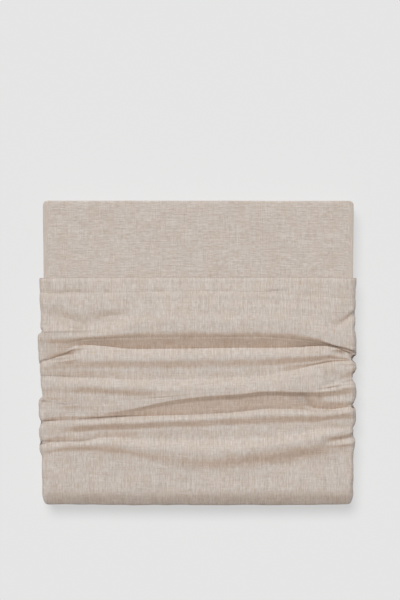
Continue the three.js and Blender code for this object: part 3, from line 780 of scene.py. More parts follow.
    def columns(self, edge_steps: int) -> tuple[Points, Points]:
        """Sets out the mesh columns from the left foot over the top to the right one.

        Args:
            edge_steps: How many steps go down each side.

        Returns:
            Each column's place across the flat top, from -1 to 1, and its steps down the side.
        """
        even = np.linspace(-1.0, 1.0, self.top_columns + 1)
        across = np.sin(even * math.pi / 2) * self.crowding + even * (1.0 - self.crowding)
        down = np.arange(1, edge_steps + 1)
        steps = np.concatenate([down[::-1], np.zeros_like(across, int), down])
        return np.concatenate([-np.ones(edge_steps), across, np.ones(edge_steps)]), steps

    def place(self, across: Points, column_steps: Points, y: Points, rise: Points, row_steps: Points,
              reach: Sequence[Points], inset: Points, uneven: bool = False) -> Grid:
        """Places the points of one face of the pocket.

        Args:
            across: Each column's place across the flat top, from -1 to 1.
            column_steps: Each column's steps down the side.
            y: How far along each point of the top is, in rows and columns.
            rise: How high it stands over the plain pocket.
            row_steps: Each row's steps down over the closed end.
            reach: How far each row stands out of the left and the right side.
            inset: How deep in the cloth each row is.
            uneven: True for the face that shows, with all its creases, rumples and painted shades.

        Returns:
            The face.
        """
        side = np.sign(across)[None, :] * np.ones_like(y)
        columns = column_steps[None, :] * np.ones_like(y)
        rows = row_steps[:, None] * np.ones_like(y)
        depth = inset[:, None] * np.ones_like(y)
        steps = np.maximum(columns, rows)
        safe = np.maximum(steps, 1)
        towards_end = np.where(rows > columns, 1.0 - columns / safe / 2.0, rows / safe / 2.0)
        turn = towards_end * math.pi / 2
        sideways = np.cos(turn) ** self.corner_fullness
        endways = np.sin(turn) ** self.corner_fullness
        roll = self.side_roll(y)
        side_path = self.edge_path(steps, roll, 0.0, roll, depth)
        end_path = self.edge_path(steps, self.end_radius, self.end_slant, self.end_tight_radius, depth)
        stands_out = np.where(side < 0.0, reach[0][:, None], reach[1][:, None])
        bulge = mix(stands_out, rise, towards_end) * side_path.loose * np.sin(side_path.tilt)
        flat = across[None, :] * (self.plain_half_width(y) - roll)
        x = flat + side * sideways * (side_path.out + bulge)
        along = y - endways * (end_path.out + bulge)
        height = mix(side_path.height, end_path.height, towards_end)
        height = height + rise * side_path.loose * np.cos(side_path.tilt)

        # The cloth's own coordinates: across the cover, and along it from the hem. Only a part of what a
        # gather takes up counts, because the threads give there and stay nearly level across the cover.
        over_x = flat + side * sideways * side_path.run
        flat_lengths = np.abs(np.diff(y, axis=0))
        taken_up = np.cumsum(np.hypot(flat_lengths, np.diff(rise, axis=0)) - flat_lengths, axis=0)
        from_hem = y[:1] - y + self.take_up * np.concatenate([np.zeros((1, y.shape[1])), taken_up])
        from_hem = from_hem + endways * end_path.run
        cloth = np.stack([over_x, -from_hem, np.zeros_like(y), np.zeros_like(y)], axis=-1)

        if uneven:
            lift = self.relief(over_x, along) * side_path.loose
            x = x + side * sideways * np.sin(side_path.tilt) * lift
            along = along - endways * np.sin(side_path.tilt) * lift
            height = height + np.cos(side_path.tilt) * lift
            # The painted warm shade and the painted dark shade, kept with the cloth coordinates.
            cloth[..., 2] = self.painted_warm_tint(x, along, height)
            cloth[..., 3] = self.shade(x, along, height)
        return Grid(np.stack([x, along, height], axis=-1), cloth)

    def relief(self, x: Points, y: Points) -> Points:
        """Works out how far the small creases and the unevenness move the cloth.

        Args:
            x, y: Where each point lies, across the cover and along it.

        Returns:
            How far each point is moved out, or in where it is below 0.
        """
        lift = sum(mark.lift(x, y) for mark in RELIEF_MARKS)
        for rumple in RUMPLES:
            lift = lift + rumple.over(x, y)
        lift = lift + smooth_step(*SIDE_START, np.abs(x)) * SIDE_RUMPLE.over(x, y)
        near_hem = np.exp(-np.abs(y - self.hem_y + 1.0) / self.hem_calm_reach)
        lift = lift * (1.0 - self.hem_calm * near_hem)
        seam_y = curve_through(STATIONS, FOLD_LINES[SEAM_LINE].y, x)
        near_seam = np.exp(-(((y - seam_y) / self.pucker_width) ** 2))
        pucker = self.pucker_mean + SEAM_RUMPLE.over(x + self.pucker_slant * y, y)
        return lift - self.pucker_depth * near_seam * pucker

    def painted_warm_tint(self, x: Points, y: Points, height: Points) -> Points:
        """Works out where the cloth's colour is painted warmer and darker, as shade.

        The painted shade is strongest where the cloth faces away from the light behind a gather. It stands
        in for the warm light that comes through flax and from cloth to cloth.

        Args:
            x, y, height: Where each point lies, across the cover, along it and up.

        Returns:
            The share of painted shade at each point, from 0 on the open cloth to 1 behind a gather.
        """
        down_row = np.stack([np.gradient(part, axis=0) for part in (x, y, height)], axis=-1)
        down_column = np.stack([np.gradient(part, axis=1) for part in (x, y, height)], axis=-1)
        facing = np.cross(down_row, down_column)
        facing = facing / np.maximum(np.linalg.norm(facing, axis=-1, keepdims=True), 1e-9)
        # Painted shade: full where the cloth faces away from the light, which comes from the far end.
        behind = smooth_step(0.0, self.warm_facing, -facing[..., 1])
        in_gathers = smooth_step(*self.gathers_end, y) * (1.0 - smooth_step(*self.gathers_start, y))
        inside = 1.0 - smooth_step(*self.side_light, np.abs(x))
        return behind * mix(self.warm_outside, 1.0, in_gathers) * mix(self.warm_edge, 1.0, inside)

    def shade(self, x: Points, y: Points, height: Points) -> Points:
        """Works out where hardly any light gets in between two layers of the cloth.

        Args:
            x, y, height: Where each point lies, across the cover, along it and up.

        Returns:
            The painted shade at each point, from 0 on the open cloth to 1 deep in a pinch.
        """
        # Painted shade: dark lines along the crevices and dark spots at the deep pinches, only near the top.
        dark = np.zeros_like(x)
        for crevice in CREVICES:
            dark = np.maximum(dark, crevice.strength(x, y))
        for spot_x, spot_y, wide, long in DEEP_PINCHES:
            away = np.hypot((x - spot_x) / wide, (y - spot_y) / long)
            dark = np.maximum(dark, 1.0 - smooth_step(*self.spot_fade, away))
        gone, whole = self.shade_depth
        return np.minimum(dark, 1.0) * smooth_step(self.top - gone, self.top - whole, height)

    def reaches(self, y: Points) -> tuple[Points, Points]:
        """Reads how far the gathers stand out of the two sides.

        Args:
            y: Where each point lies along the cover, in rows that end at the two sides.

        Returns:
            How far each row stands out at the left and at the right.
        """
        left_y, left = np.array(LEFT_REACH[::-1]).T
        right_y, right = np.array(RIGHT_REACH[::-1]).T
        return np.interp(y[:, 0], left_y, left), np.interp(y[:, -1], right_y, right)

    def over_the_end(self, y: Points, rise: Points, steps: int) -> tuple[Points, Points, Points]:
        """Adds the rows that go down over the closed end.

        Args:
            y: How far along each point of the top is, in rows and columns.
            rise: How high it stands over the plain pocket.
            steps: How many rows go down.

        Returns:
            y and rise for all the rows, and each row's steps down over the closed end.
        """
        row_steps = np.concatenate([np.zeros(len(y), int), np.arange(1, steps + 1)])
        return with_last_repeated(y, steps), with_last_repeated(rise, steps), row_steps

    def outer_grid(self) -> Grid:
        """Makes the pocket's outer face.

        Returns:
            The face.
        """
        across, column_steps = self.columns(self.edge_steps)
        y, rise = self.rows_over_top(across * self.half_width)
        y, rise, row_steps = self.over_the_end(y, rise, self.edge_steps)
        inset = np.zeros(len(y))
        return self.place(across, column_steps, y, rise, row_steps, self.reaches(y), inset, uneven=True)

    def rim_grid(self) -> Grid:
        """Makes the rounded edge of the hem, from its outer face to its inner one.

        Returns:
            The rows between the two faces, outermost row first.
        """
        across, column_steps = self.columns(self.wall_end)
        first_y, first_rise = self.rows_over_top(across * self.half_width)
        turned = np.arange(1, self.rim_steps + 1) / (self.rim_steps + 1) * math.pi
        y = first_y[0][None, :] + self.rim_reach * np.sin(turned)[:, None]
        rise = np.repeat(first_rise[:1], self.rim_steps, axis=0)
        inset = self.thickness * (1.0 - np.cos(turned)) / 2.0
        row_steps = np.zeros(self.rim_steps, int)
        grid = self.place(across, column_steps, y, rise, row_steps, self.reaches(y), inset)
        # Painted shade on the hem's rounded edge, darkest halfway round, where it turns under.
        grid.cloth[..., 3] = self.rim_shade * np.sin(turned)[:, None]
        return grid

    def inner_grid(self) -> Grid:
        """Makes the pocket's inner face, which follows the gathers softly and stays under them.

        Returns:
            The face.
        """
        across, column_steps = self.columns(self.wall_end)
        y, rise = self.rows_over_top(across * self.half_width)
        wanted = np.linspace(0.0, 1.0, self.inner_rows)[:, None]
        inner_y = mix(y[0][None, :], y[-1][None, :], wanted)
        inner_rise = np.empty_like(inner_y)
        for column in range(y.shape[1]):
            order = np.argsort(y[:, column])
            sampled = np.interp(inner_y[::-1, column], y[order, column], rise[order, column])[::-1]
            inner_rise[:, column] = lowest_nearby(sampled)
        inner_rise = np.maximum(inner_rise - self.inner_gap * (wanted > 0.0), 0.0)
        reach = []
        for outer in self.reaches(inner_y):
            lowest = lowest_nearby(outer)
            lowest[0] = outer[0]
            reach.append(with_last_repeated(lowest, self.wall_end))
        inner_y, inner_rise, row_steps = self.over_the_end(inner_y, inner_rise, self.wall_end)
        inset = np.full(len(inner_y), self.thickness)
        return self.place(across, column_steps, inner_y, inner_rise, row_steps, reach, inset)


@dataclass(frozen=True)
class LeafBend:
    """Where the leaves are set out along the stack, and how much narrower each side is there."""

    y: float
    narrower: float


@dataclass
class FoldedStack:
    """The rest of the cover, folded back and forth in thin leaves.

    Attributes:
        half_width: From the middle to the straight side.
        half_length: From the middle to the folds at the bare end.
        leaf_count: How many leaves lie on each other.
        leaf_thickness: Four plies of cloth, pressed together.
        leaf_pitch: A leaf and the air over it.
        corner: The radius of the bare corners, seen from above.
        hidden_gap: Between the folds and the pocket's closed end.
        hidden_narrower: How much narrower each side is at those folds.
        mouth_y: Where the bottom leaf runs out of the pocket's cloth.
        loose_share: How thick a leaf still is at its loose end.
        fold_wander: How unevenly the folds at the bare end lie.
        fold_step: How much further back every fourth fold lies.
        side_wander: How unevenly the leaves lie at the sides.
        side_step: How much further in every other leaf lies there.
        cloth_start: How much cloth comes before the stack, counted from the hem.
    """

    half_width: float = 179.0
    half_length: float = 175.0
    leaf_count: int = 16
    leaf_thickness: float = 1.75
    leaf_pitch: float = 2.35
    corner: float = 5.0
    hidden_gap: float = 14.0
    hidden_narrower: float = 10.0
    mouth_y: float = 85.0
    loose_share: float = 0.85
    fold_wander: float = 0.45
    fold_step: float = 0.35
    side_wander: float = 0.5
    side_step: float = 0.35
    cloth_start: float = 700.0
    fold_steps: int = 6
    bends: tuple[LeafBend, ...] = (
        LeafBend(168.0, 0.05), LeafBend(158.0, 0.1), LeafBend(146.0, 0.25), LeafBend(132.0, 0.4),
        LeafBend(118.0, 0.6), LeafBend(104.0, 0.75), LeafBend(92.0, 0.9), LeafBend(82.0, 1.0),
        LeafBend(25.0, 4.0), LeafBend(-120.0, 4.5),
    )

    def narrower(self, y: float) -> float:
        """Reads how much narrower the stack is at one place along it.

        Args:
            y: The place, counted from the stack's middle.

        Returns:
            How far each side is drawn in there.
        """
        places = [-self.half_length] + [bend.y for bend in reversed(self.bends)] + [self.half_length]
        amounts = [self.hidden_narrower] + [bend.narrower for bend in reversed(self.bends)] + [0.0]
        return float(np.interp(y, places, amounts))

    def across_stations(self) -> list[tuple[float, float]]:
        """Sets out the sections across the stack.

        Returns:
            Each section's place, from -1 to 1, and the share of a leaf's thickness there. The leaves are
            rounded at their side edges.
        """
        edge = [(1.0, 0.30), (0.9992, 0.58), (0.9975, 0.80), (0.995, 0.93)]
        inner = [(place, 1.0) for place in (0.991, 0.981, 0.966, 0.92, 0.8, 0.64, 0.44, 0.22)]
        half = edge + inner
        return [(-place, share) for place, share in half] + [(0.0, 1.0)] + half[::-1]

    def section(self, place: float, thickness_share: float) -> list[tuple[int, float, float]]:
        """Draws the section of all the leaves as one closed line.

        Args:
            place: Where the section is across the stack, from -1 to 1.
            thickness_share: The share of a leaf's full thickness there.

        Returns:
            The (leaf, y, height) points, along one face of the folded leaves and back along the other.
        """
        thickness = self.leaf_thickness * thickness_share
        from_corner = max(abs(place) * self.half_width - (self.half_width - self.corner), 0.0)
        cut = self.corner - math.sqrt(max(self.corner**2 - from_corner**2, 0.0))
        last = self.leaf_count - 1

        def leaf_line(leaf: int, face: int) -> list[tuple[int, float, float]]:
            """Draws one face of a leaf and of the fold that takes it up to the next one.

            Args:
                leaf: Which leaf it is, from 0 for the bottom one.
                face: 1 or -1 for one face or the other.

            Returns:
                The (leaf, y, height) points.
            """
            middle = leaf * self.leaf_pitch + self.leaf_thickness / 2.0
            towards_bare = leaf % 2 == 0
            run = sorted((bend.y for bend in self.bends), reverse=not towards_bare)
            flat = [(leaf, y, middle + face * thickness / 2.0) for y in run if leaf > 0]
            loose_y = self.mouth_y if leaf == 0 else self.hidden_gap - self.half_length
            loose = (leaf, loose_y, middle + face * self.loose_share * thickness / 2.0)
            if leaf == last:
                return [*flat, loose]
            if leaf == 0:
                beyond = [(leaf, y, middle + face * thickness / 2.0) for y in run if y > self.mouth_y]
                flat = [loose, *beyond]
            uneven = self.fold_wander * wander(leaf * 0.9, place * 2.2, 1.7)
            uneven = uneven + (self.fold_step if leaf % 4 == 0 else 0.0)
            reach = self.half_length - (max(uneven, 0.0) + cut if towards_bare else self.hidden_gap)
            radius = (self.leaf_pitch - face * thickness) / 2.0
            fold = []
            for step in range(self.fold_steps + 1):
                angle = -math.pi / 2 + math.pi * step / self.fold_steps
                y = reach - (self.leaf_pitch + thickness) / 2.0 + radius * math.cos(angle)
                height = middle + self.leaf_pitch / 2.0 + radius * math.sin(angle)
                fold.append((leaf, y if towards_bare else -y, height))
            return [*flat, *fold]

        def face_line(first: int) -> list[tuple[int, float, float]]:
            """Draws one face of all the leaves, from the bottom one to the top one.

            Args:
                first: Which face of the bottom leaf it starts with, 1 or -1.

            Returns:
                The (leaf, y, height) points.
            """
            points: list[tuple[int, float, float]] = []
            for leaf in range(self.leaf_count):
                points.extend(leaf_line(leaf, first if leaf % 2 == 0 else -first))
            return points

        return [*face_line(-1), *reversed(face_line(1))]

    def rings(self) -> Grid:
        """Makes the sections of the stack, one row each, from its left side to its right one.

        Returns:
            The sections. The threads along the cover's length lie across the stack here, so the cloth's two
            directions are swapped.
        """
        sections = []
        cloths = []
        for place, share in self.across_stations():
            line = self.section(place, share)
            points = []
            for leaf, y, height in line:
                side = self.side_wander * wander(leaf * 1.3, y / 90.0, 4.2) - self.side_step * (leaf % 2)
                half = self.half_width - self.narrower(y) + (side if leaf < self.leaf_count - 1 else 0.0)
                points.append((place * half, y, height))
            ring = np.array(points)
            lengths = np.hypot(np.diff(ring[:, 1]), np.diff(ring[:, 2]))
            along = np.concatenate([[0.0], np.cumsum(lengths)])
            across = np.sign(place) * (1.0 - share) * self.leaf_thickness + ring[:, 0]
            sections.append(ring)
            plain = np.zeros(len(ring))
            cloths.append(np.stack([along + self.cloth_start, across, plain, plain], axis=-1))
        return Grid(np.array(sections), np.array(cloths))


@dataclass
class MeshBuilder:
    """Gathers points and faces for one mesh."""

    points: list[Points] = field(default_factory=list)
    cloths: list[Points] = field(default_factory=list)
    faces: Faces = field(default_factory=list)
    count: int = 0

    def add(self, grid: Grid) -> np.ndarray:
        """Adds a grid of points.

        Args:
            grid: The points.

        Returns:
            The numbers that they have in the mesh, in rows and columns.
        """
        rows, columns = grid.points.shape[:2]
        numbers = np.arange(self.count, self.count + rows * columns)
        self.points.append(grid.points.reshape(-1, 3))
        self.cloths.append(grid.cloth.reshape(-1, 4))
        self.count += len(numbers)
        return numbers.reshape(rows, columns)

    def skin(self, grid: np.ndarray, turned: bool = False) -> None:
        """Covers a grid of points with four-sided faces.

        Args:
            grid: The points' numbers, in rows and columns.
            turned: True where the grid runs the other way.
        """
        for row, next_row in zip(grid[:-1], grid[1:]):
            for column in range(len(row) - 1):
                corners = (row[column], next_row[column], next_row[column + 1], row[column + 1])
                self.faces.append(tuple(int(n) for n in (corners[::-1] if turned else corners)))


@dataclass(frozen=True)
class WashedLinen:
    """Washed linen in a plain weave, made of uneven flax threads.

    Flax threads swell and thin along their length, so the eye sees short, fine streaks along one set of
    threads and weaker ones across them. Washed flax is matt with a faint soft glow at the grazing edge.

    Attributes:
        light: Where a thread is thin and pale.
        dark: Where a thread is thick, or shades the next one.
        husk: A bit of stalk that is left in a thread.
        warm_shade: The painted shade: what the cloth's colour is multiplied by where it faces away from
            the light, most behind a gather.
        deep_shade: The painted dark shade: what is left of the colour deep in a pinch or a crevice.
        warm_wash: What it is multiplied by where the wash has left it warmer.
        slub_width: Across a streak. The real threads are about 0.5 mm apart, too fine to show from here, so
            the streaks are drawn about as wide as two of them.
        slub_length: How long a thick part of a thread is.
        thread_length: How far a thread that is thick all along is seen.
    """

    light: str = "#d4ccc5"
    dark: str = "#b8aa9e"
    husk: str = "#bfa384"
    warm_shade: tuple[float, float, float, float] = (0.99, 0.865, 0.768, 1.0)
    deep_shade: tuple[float, float, float, float] = (0.24, 0.155, 0.115, 1.0)
    warm_wash: tuple[float, float, float, float] = (1.0, 0.978, 0.96, 1.0)
    slub_width: float = 1.2
    slub_length: float = 6.0
    thread_length: float = 26.0
    roughness: float = 0.92
    sheen: float = 0.12

    def material(self) -> bpy.types.Material:
        """Makes the material.

        Returns:
            The material, which reads the cloth's own coordinates in millimetres.
        """
        made, shader = new_material("washed_linen", {
            "Roughness": self.roughness, "Specular IOR Level": 0.25,
            "Sheen Weight": self.sheen, "Sheen Roughness": 0.5,
        })
        tree = made.node_tree
        cloth = add_node(tree, "ShaderNodeAttribute", {"attribute_name": "cloth_mm"})

        def threads(name: str, width: float, length: float, detail: float, seed: float) -> Socket:
            """Adds one set of streaks.

            Args:
                name: What they are.
                width: How wide a streak is, in millimetres.
                length: How long it is.
                detail: How much finer unevenness it has.
                seed: A number that picks one pattern out of many.

            Returns:
                The pattern, from 0 to 1.
            """
            scaled = add_node(
                tree, "ShaderNodeMapping",
                {"Scale": (1.0 / width, 1.0 / length, 1.0), "Location": (seed, seed * 0.37, seed)},
                {"Vector": cloth.outputs["Vector"]},
            )
            streaks = add_node(
                tree, "ShaderNodeTexNoise",
                {"noise_dimensions": "2D", "Scale": 1.0, "Detail": detail, "Roughness": 0.5, "label": name},
                {"Vector": scaled.outputs["Vector"]},
            )
            return streaks.outputs["Fac"]

        def maths(operation: str, first: Socket, second: Socket) -> Socket:
            """Adds or multiplies two patterns."""
            settings = {"operation": operation}
            return add_node(tree, "ShaderNodeMath", settings, {0: first, 1: second}).outputs[0]

        def sum_of(*parts: tuple[float, Socket]) -> Socket:
            """Adds up patterns, each counted from its middle value.

            Args:
                parts: The amount of each pattern, and the pattern.

            Returns:
                The sum, around 0.
            """
            total: Optional[Socket] = None
            for amount, pattern in parts:
                around_middle = {"operation": "MULTIPLY_ADD", 1: amount, 2: -0.5 * amount}
                scaled = add_node(tree, "ShaderNodeMath", around_middle, {0: pattern}).outputs[0]
                total = scaled if total is None else maths("ADD", total, scaled)
            return total

        def ramp(pattern: Socket, low: float, high: float, start: float = 0.0, end: float = 1.0) -> Socket:
            """Turns the values of a pattern from low to high into values from start to end."""
            ends = {"From Min": low, "From Max": high, "To Min": start, "To Max": end}
            return add_node(tree, "ShaderNodeMapRange", ends, {"Value": pattern}).outputs["Result"]

        def tinted(base: Socket, tint: tuple[float, float, float, float], share: Socket) -> Socket:
            """Multiplies a colour by a tint, more or less by a share."""
            settings = {"data_type": "RGBA", "blend_type": "MULTIPLY", 7: tint}
            return add_node(tree, "ShaderNodeMix", settings, {0: share, 6: base}).outputs[2]

        width, long = self.slub_width, self.thread_length
        slubs = threads("slubs along the cover", width, self.slub_length, 1.0, 3.0)
        long_threads = threads("threads along the cover", width * 1.1, long, 1.0, 29.0)
        cross_threads = threads("threads across the cover", long, width * 1.1, 1.0, 17.0)
        cross_slubs = threads("slubs across the cover", self.slub_length, width, 0.0, 23.0)
        patches = threads("where the cross threads show", 17.0, 11.0, 1.0, 37.0)
        grain = threads("thread crossings", 0.8, 0.8, 0.0, 41.0)
        mottle = threads("uneven thickness", 6.5, 5.0, 2.0, 47.0)
        wash = threads("uneven wash", 26.0, 48.0, 2.0, 53.0)
        tone = threads("warmer and cooler places", 21.0, 17.0, 1.0, 61.0)
        flecks = threads("bits of husk", 1.6, 9.0, 0.0, 71.0)

        along = sum_of((1.15, slubs), (1.1, long_threads))
        across = sum_of((0.7, cross_threads), (0.45, cross_slubs))
        shown = maths("MULTIPLY", across, ramp(patches, 0.38, 0.66, 0.3, 1.3))
        clouds = sum_of((0.45, grain), (0.42, mottle), (0.26, wash))
        weave = ramp(maths("ADD", maths("ADD", along, shown), clouds), -0.6, 0.6)
        shades = {"data_type": "RGBA", 6: linear(self.dark), 7: linear(self.light)}
        woven = add_node(tree, "ShaderNodeMix", shades, {0: weave})
        # Painted shade: the colour is warmed and darkened by the third cloth value, and darkened further
        # deep in the pinches and crevices.
        parts = add_node(tree, "ShaderNodeSeparateXYZ", {}, {"Vector": cloth.outputs["Vector"]})
        pinched = add_node(tree, "ShaderNodeAttribute", {"attribute_name": "cloth_shade"}).outputs["Fac"]
        colour = tinted(woven.outputs[2], self.warm_wash, ramp(tone, 0.35, 0.65))
        colour = tinted(colour, self.warm_shade, parts.outputs["Z"])
        colour = tinted(colour, self.deep_shade, pinched)
        with_husk = add_node(
            tree, "ShaderNodeMix", {"data_type": "RGBA", 7: linear(self.husk)},
            {0: ramp(flecks, 0.86, 0.91, 0.0, 0.7), 6: colour},
        )
        tree.links.new(with_husk.outputs[2], shader.inputs["Base Color"])
        add_relief(tree, shader, weave, 0.35, 0.25)
        return made


@dataclass(frozen=True)
class SewingThread:
    """Polyester sewing thread, spun, in the colour of the cloth. Its twist gives it a slight lustre."""

    colour: str = "#c3b6a8"
    roughness: float = 0.6

    def material(self) -> bpy.types.Material:
        """Makes the material.

        Returns:
            The material, with the thread's twist in its relief.
        """
        made, shader = new_material("sewing_thread", {"Roughness": self.roughness})
        tree = made.node_tree
        place = add_node(tree, "ShaderNodeTexCoord", {})
        twist = add_node(
            tree, "ShaderNodeTexNoise", {"Scale": 1800.0, "Detail": 1.0}, {"Vector": place.outputs["Object"]}
        )
        colour = add_node(
            tree, "ShaderNodeMix",
            {"data_type": "RGBA", 6: linear(self.colour, 0.8), 7: linear(self.colour, 1.1)},
            {0: twist.outputs["Fac"]},
        )
        tree.links.new(colour.outputs[2], shader.inputs["Base Color"])
        add_relief(tree, shader, twist.outputs["Fac"], 0.4, 0.1)
        return made


@dataclass(frozen=True)
class OpalFloor:
    """A matt opal acrylic floor, lit a little from below, as for product photographs.

    The light that comes up through it leaves only a thin, soft shadow round what stands on it.

    Attributes:
        colour: Of the acrylic under the light from above.
        glow: How much light comes up through it.
    """

    colour: str = "#8c8c8c"
    glow: float = 0.53

    def material(self) -> bpy.types.Material:
        """Makes the material.

        Returns:
            The material.
        """
        made, _ = new_material("opal_acrylic_floor", {
            "Base Color": linear(self.colour), "Roughness": 1.0, "Specular IOR Level": 0.0,
            "Emission Color": (1.0, 1.0, 1.0, 1.0), "Emission Strength": self.glow,
        })
        return made


def linear(colour: str, times: float = 1.0) -> tuple[float, float, float, float]:
    """Turns an sRGB colour into the linear one that the shaders work in.

    Args:
        colour: The colour, as a hash sign and six hex digits.
        times: How much lighter or darker it is made.

    Returns:
        Red, green, blue and alpha.
    """
    parts = [int(colour[i : i + 2], 16) / 255.0 for i in (1, 3, 5)]
    plain = [part / 12.92 if part <= 0.04045 else ((part + 0.055) / 1.055) ** 2.4 for part in parts]
    return (plain[0] * times, plain[1] * times, plain[2] * times, 1.0)


def new_material(name: str, values: dict[str, Any]) -> tuple[bpy.types.Material, bpy.types.Node]:
    """Makes a material with one shader.

    Args:
        name: The material's name.
        values: Values by the name of the shader's input.

    Returns:
        The material and its shader.
    """
    made = bpy.data.materials.new(name)
    made.use_nodes = True
    shader = made.node_tree.nodes["Principled BSDF"]
    for key, value in values.items():
        shader.inputs[key].default_value = value
    return made, shader


def add_relief(
    tree: bpy.types.NodeTree, shader: bpy.types.Node, pattern: Socket, strength: float, height: float
) -> None:
    """Lets a pattern stand up from the surface.

    Args:
        tree: The material's node tree.
        shader: The material's shader.
        pattern: The pattern, from 0 to 1.
        strength: How strongly the light shows it, from 0 to 1.
        height: How high it stands, in millimetres.
    """
    settings = {"Strength": strength, "Distance": height * MM}
    relief = add_node(tree, "ShaderNodeBump", settings, {"Height": pattern})
    tree.links.new(relief.outputs["Normal"], shader.inputs["Normal"])


def add_node(
    tree: bpy.types.NodeTree, kind: str, settings: dict[Any, Any], links: Optional[dict[Any, Any]] = None
) -> bpy.types.Node:
    """Adds a node to a material.

    Args:
        tree: The material's node tree.
        kind: Blender's name for the node.
        settings: Values by the name of a property, or by the name or number of an input.
        links: Outputs of other nodes by the name or number of the input that they feed.

    Returns:
        The new node.
    """
    node = tree.nodes.new(kind)
    for name, value in settings.items():
        if isinstance(name, str) and hasattr(node, name):
            setattr(node, name, value)
    for name, value in settings.items():
        if not (isinstance(name, str) and hasattr(node, name)):
            node.inputs[name].default_value = value
    for name, output in (links or {}).items():
        tree.links.new(output, node.inputs[name])
    return node


@dataclass
class FoldedCover:
    """The whole cover: the folded stack and the pocket round it, as one piece of cloth.

    Attributes:
        pocket: The turned end.
        stack: The folded rest.
        finish: What the cloth is.
    """

    pocket: TurnedPocket = field(default_factory=TurnedPocket)
    stack: FoldedStack = field(default_factory=FoldedStack)
    finish: WashedLinen = field(default_factory=WashedLinen)

    def build(self) -> bpy.types.Object:
        """Builds the cloth as one closed mesh.

        Returns:
            The object, in metres and in the frame of the CAD model.
        """
        mesh = MeshBuilder()
        outer = mesh.add(self.pocket.outer_grid())
        inner = mesh.add(self.pocket.inner_grid())
        rim = mesh.add(self.pocket.rim_grid())
        rings = mesh.add(self.stack.rings())
        self.cover_face(mesh, outer, False)
        self.cover_face(mesh, inner, True)
        foot = self.pocket.foot_steps
        mouth = np.vstack([inner[:1], rim[::-1], outer[:1, foot:-foot]])
        mesh.skin(mouth)
        self.close_panel(mesh, outer[0], mouth, rings)
        mesh.skin(rings, turned=True)
        self.close_side(mesh, rings[0], True)
        self.close_side(mesh, rings[-1], False)
        return self.finish_mesh(mesh)

    def cover_face(self, mesh: MeshBuilder, grid: np.ndarray, turned: bool) -> None:
        """Covers one face of the pocket, and the flat floor between its two feet and its end.

        Args:
            mesh: The mesh to add to.
            grid: The face's points.
            turned: True for the inner face, which looks the other way.
        """
        mesh.skin(grid, turned)
        edge = self.pocket.wall_end if turned else self.pocket.edge_steps
        last_flat = len(grid) - 1 - edge
        feet = np.stack([grid[: last_flat + 1, -1], grid[: last_flat + 1, 0]], axis=1)
        mesh.skin(feet, turned)
        left = grid[last_flat:-1, 0]
        right = grid[last_flat:-1, -1][::-1]
        rim = [*left, *grid[-1], *right]
        ring = [int(n) for n in rim]
        mesh.faces.append(tuple(ring if turned else ring[::-1]))

    def close_panel(
        self, mesh: MeshBuilder, outer: np.ndarray, mouth: np.ndarray, rings: np.ndarray
    ) -> None:
        """Closes the cloth under the stack at the mouth, where the bottom leaf runs out of it.

        Args:
            mesh: The mesh to add to.
            outer: The first row of the pocket's outer face.
            mouth: The rim's rows, from the inner face to the outer one.
            rings: The stack's sections, whose first and last points are the bottom leaf's loose end.
        """
        foot = self.pocket.foot_steps
        left = [*outer[: foot + 1], *mouth[::-1, 0][1:]]
        right = [*mouth[:, -1][:-1], *outer[-foot - 1 :]]
        border = [int(n) for n in [*left, *right]]
        leaf = [int(n) for n in [*rings[:, 0], *rings[::-1, -1]]]
        places = np.vstack(mesh.points)
        flat = [[Vector((places[n][0], places[n][2], 0.0)) for n in ring] for ring in (border, leaf)]
        numbers = border + leaf
        for triangle in tessellate_polygon(flat):
            a, b, c = (numbers[i] for i in triangle)
            cross = (places[b] - places[a])[[0, 2]], (places[c] - places[a])[[0, 2]]
            turns_left = cross[0][0] * cross[1][1] - cross[0][1] * cross[1][0] > 0.0
            mesh.faces.append((a, c, b) if turns_left else (a, b, c))

    def close_side(self, mesh: MeshBuilder, ring: np.ndarray, turned: bool) -> None:
        """Closes the leaves at one side of the stack with a ladder of faces between their two faces.

        Args:
            mesh: The mesh to add to.
            ring: The points of the section at that side.
            turned: True at the left side, where the ladder looks the other way.
        """
        back = ring[::-1]
        ladder = np.stack([ring[: len(ring) // 2], back[: len(ring) // 2]], axis=1)
        mesh.skin(ladder, turned)

    def finish_mesh(self, mesh: MeshBuilder) -> bpy.types.Object:
        """Makes the object, with its cloth coordinates and its finish.

        Args:
            mesh: The points and faces.

        Returns:
            The object.
        """
        cloth = new_object("folded_cover_cloth", np.vstack(mesh.points), mesh.faces)
        data = cloth.data
        cloths = np.vstack(mesh.cloths).astype(np.float32)
        # The cloth coordinates carry the share of painted warm shade as their third value.
        layer = data.attributes.new("cloth_mm", "FLOAT_VECTOR", "POINT")
        layer.data.foreach_set("vector", cloths[:, :3].ravel())
        # The painted dark shade of the pinches, the crevices and the hem's edge.
        shade = data.attributes.new("cloth_shade", "FLOAT", "POINT")
        shade.data.foreach_set("value", cloths[:, 3].copy())
        tidy = bmesh.new()
        tidy.from_mesh(data)
        bmesh.ops.triangulate(tidy, faces=[face for face in tidy.faces if len(face.verts) > 4])
        open_edges = sum(1 for edge in tidy.edges if not edge.is_manifold)
        tidy.to_mesh(data)
        tidy.free()
        LOG.info("cloth: %d faces, %d open edges", len(data.polygons), open_edges)
        bpy.ops.object.shade_smooth_by_angle(angle=math.radians(60.0))
        data.materials.append(self.finish.material())
        return cloth

    def declare(self, cloth: bpy.types.Object) -> None:
        """Hides the CAD part that the cloth stands for, and makes the cloth move with the cover.

        Each modelled leaf stands for four plies.

        Args:
            cloth: The cloth.
        """
        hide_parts(NODE)
        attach(cloth, BODY)


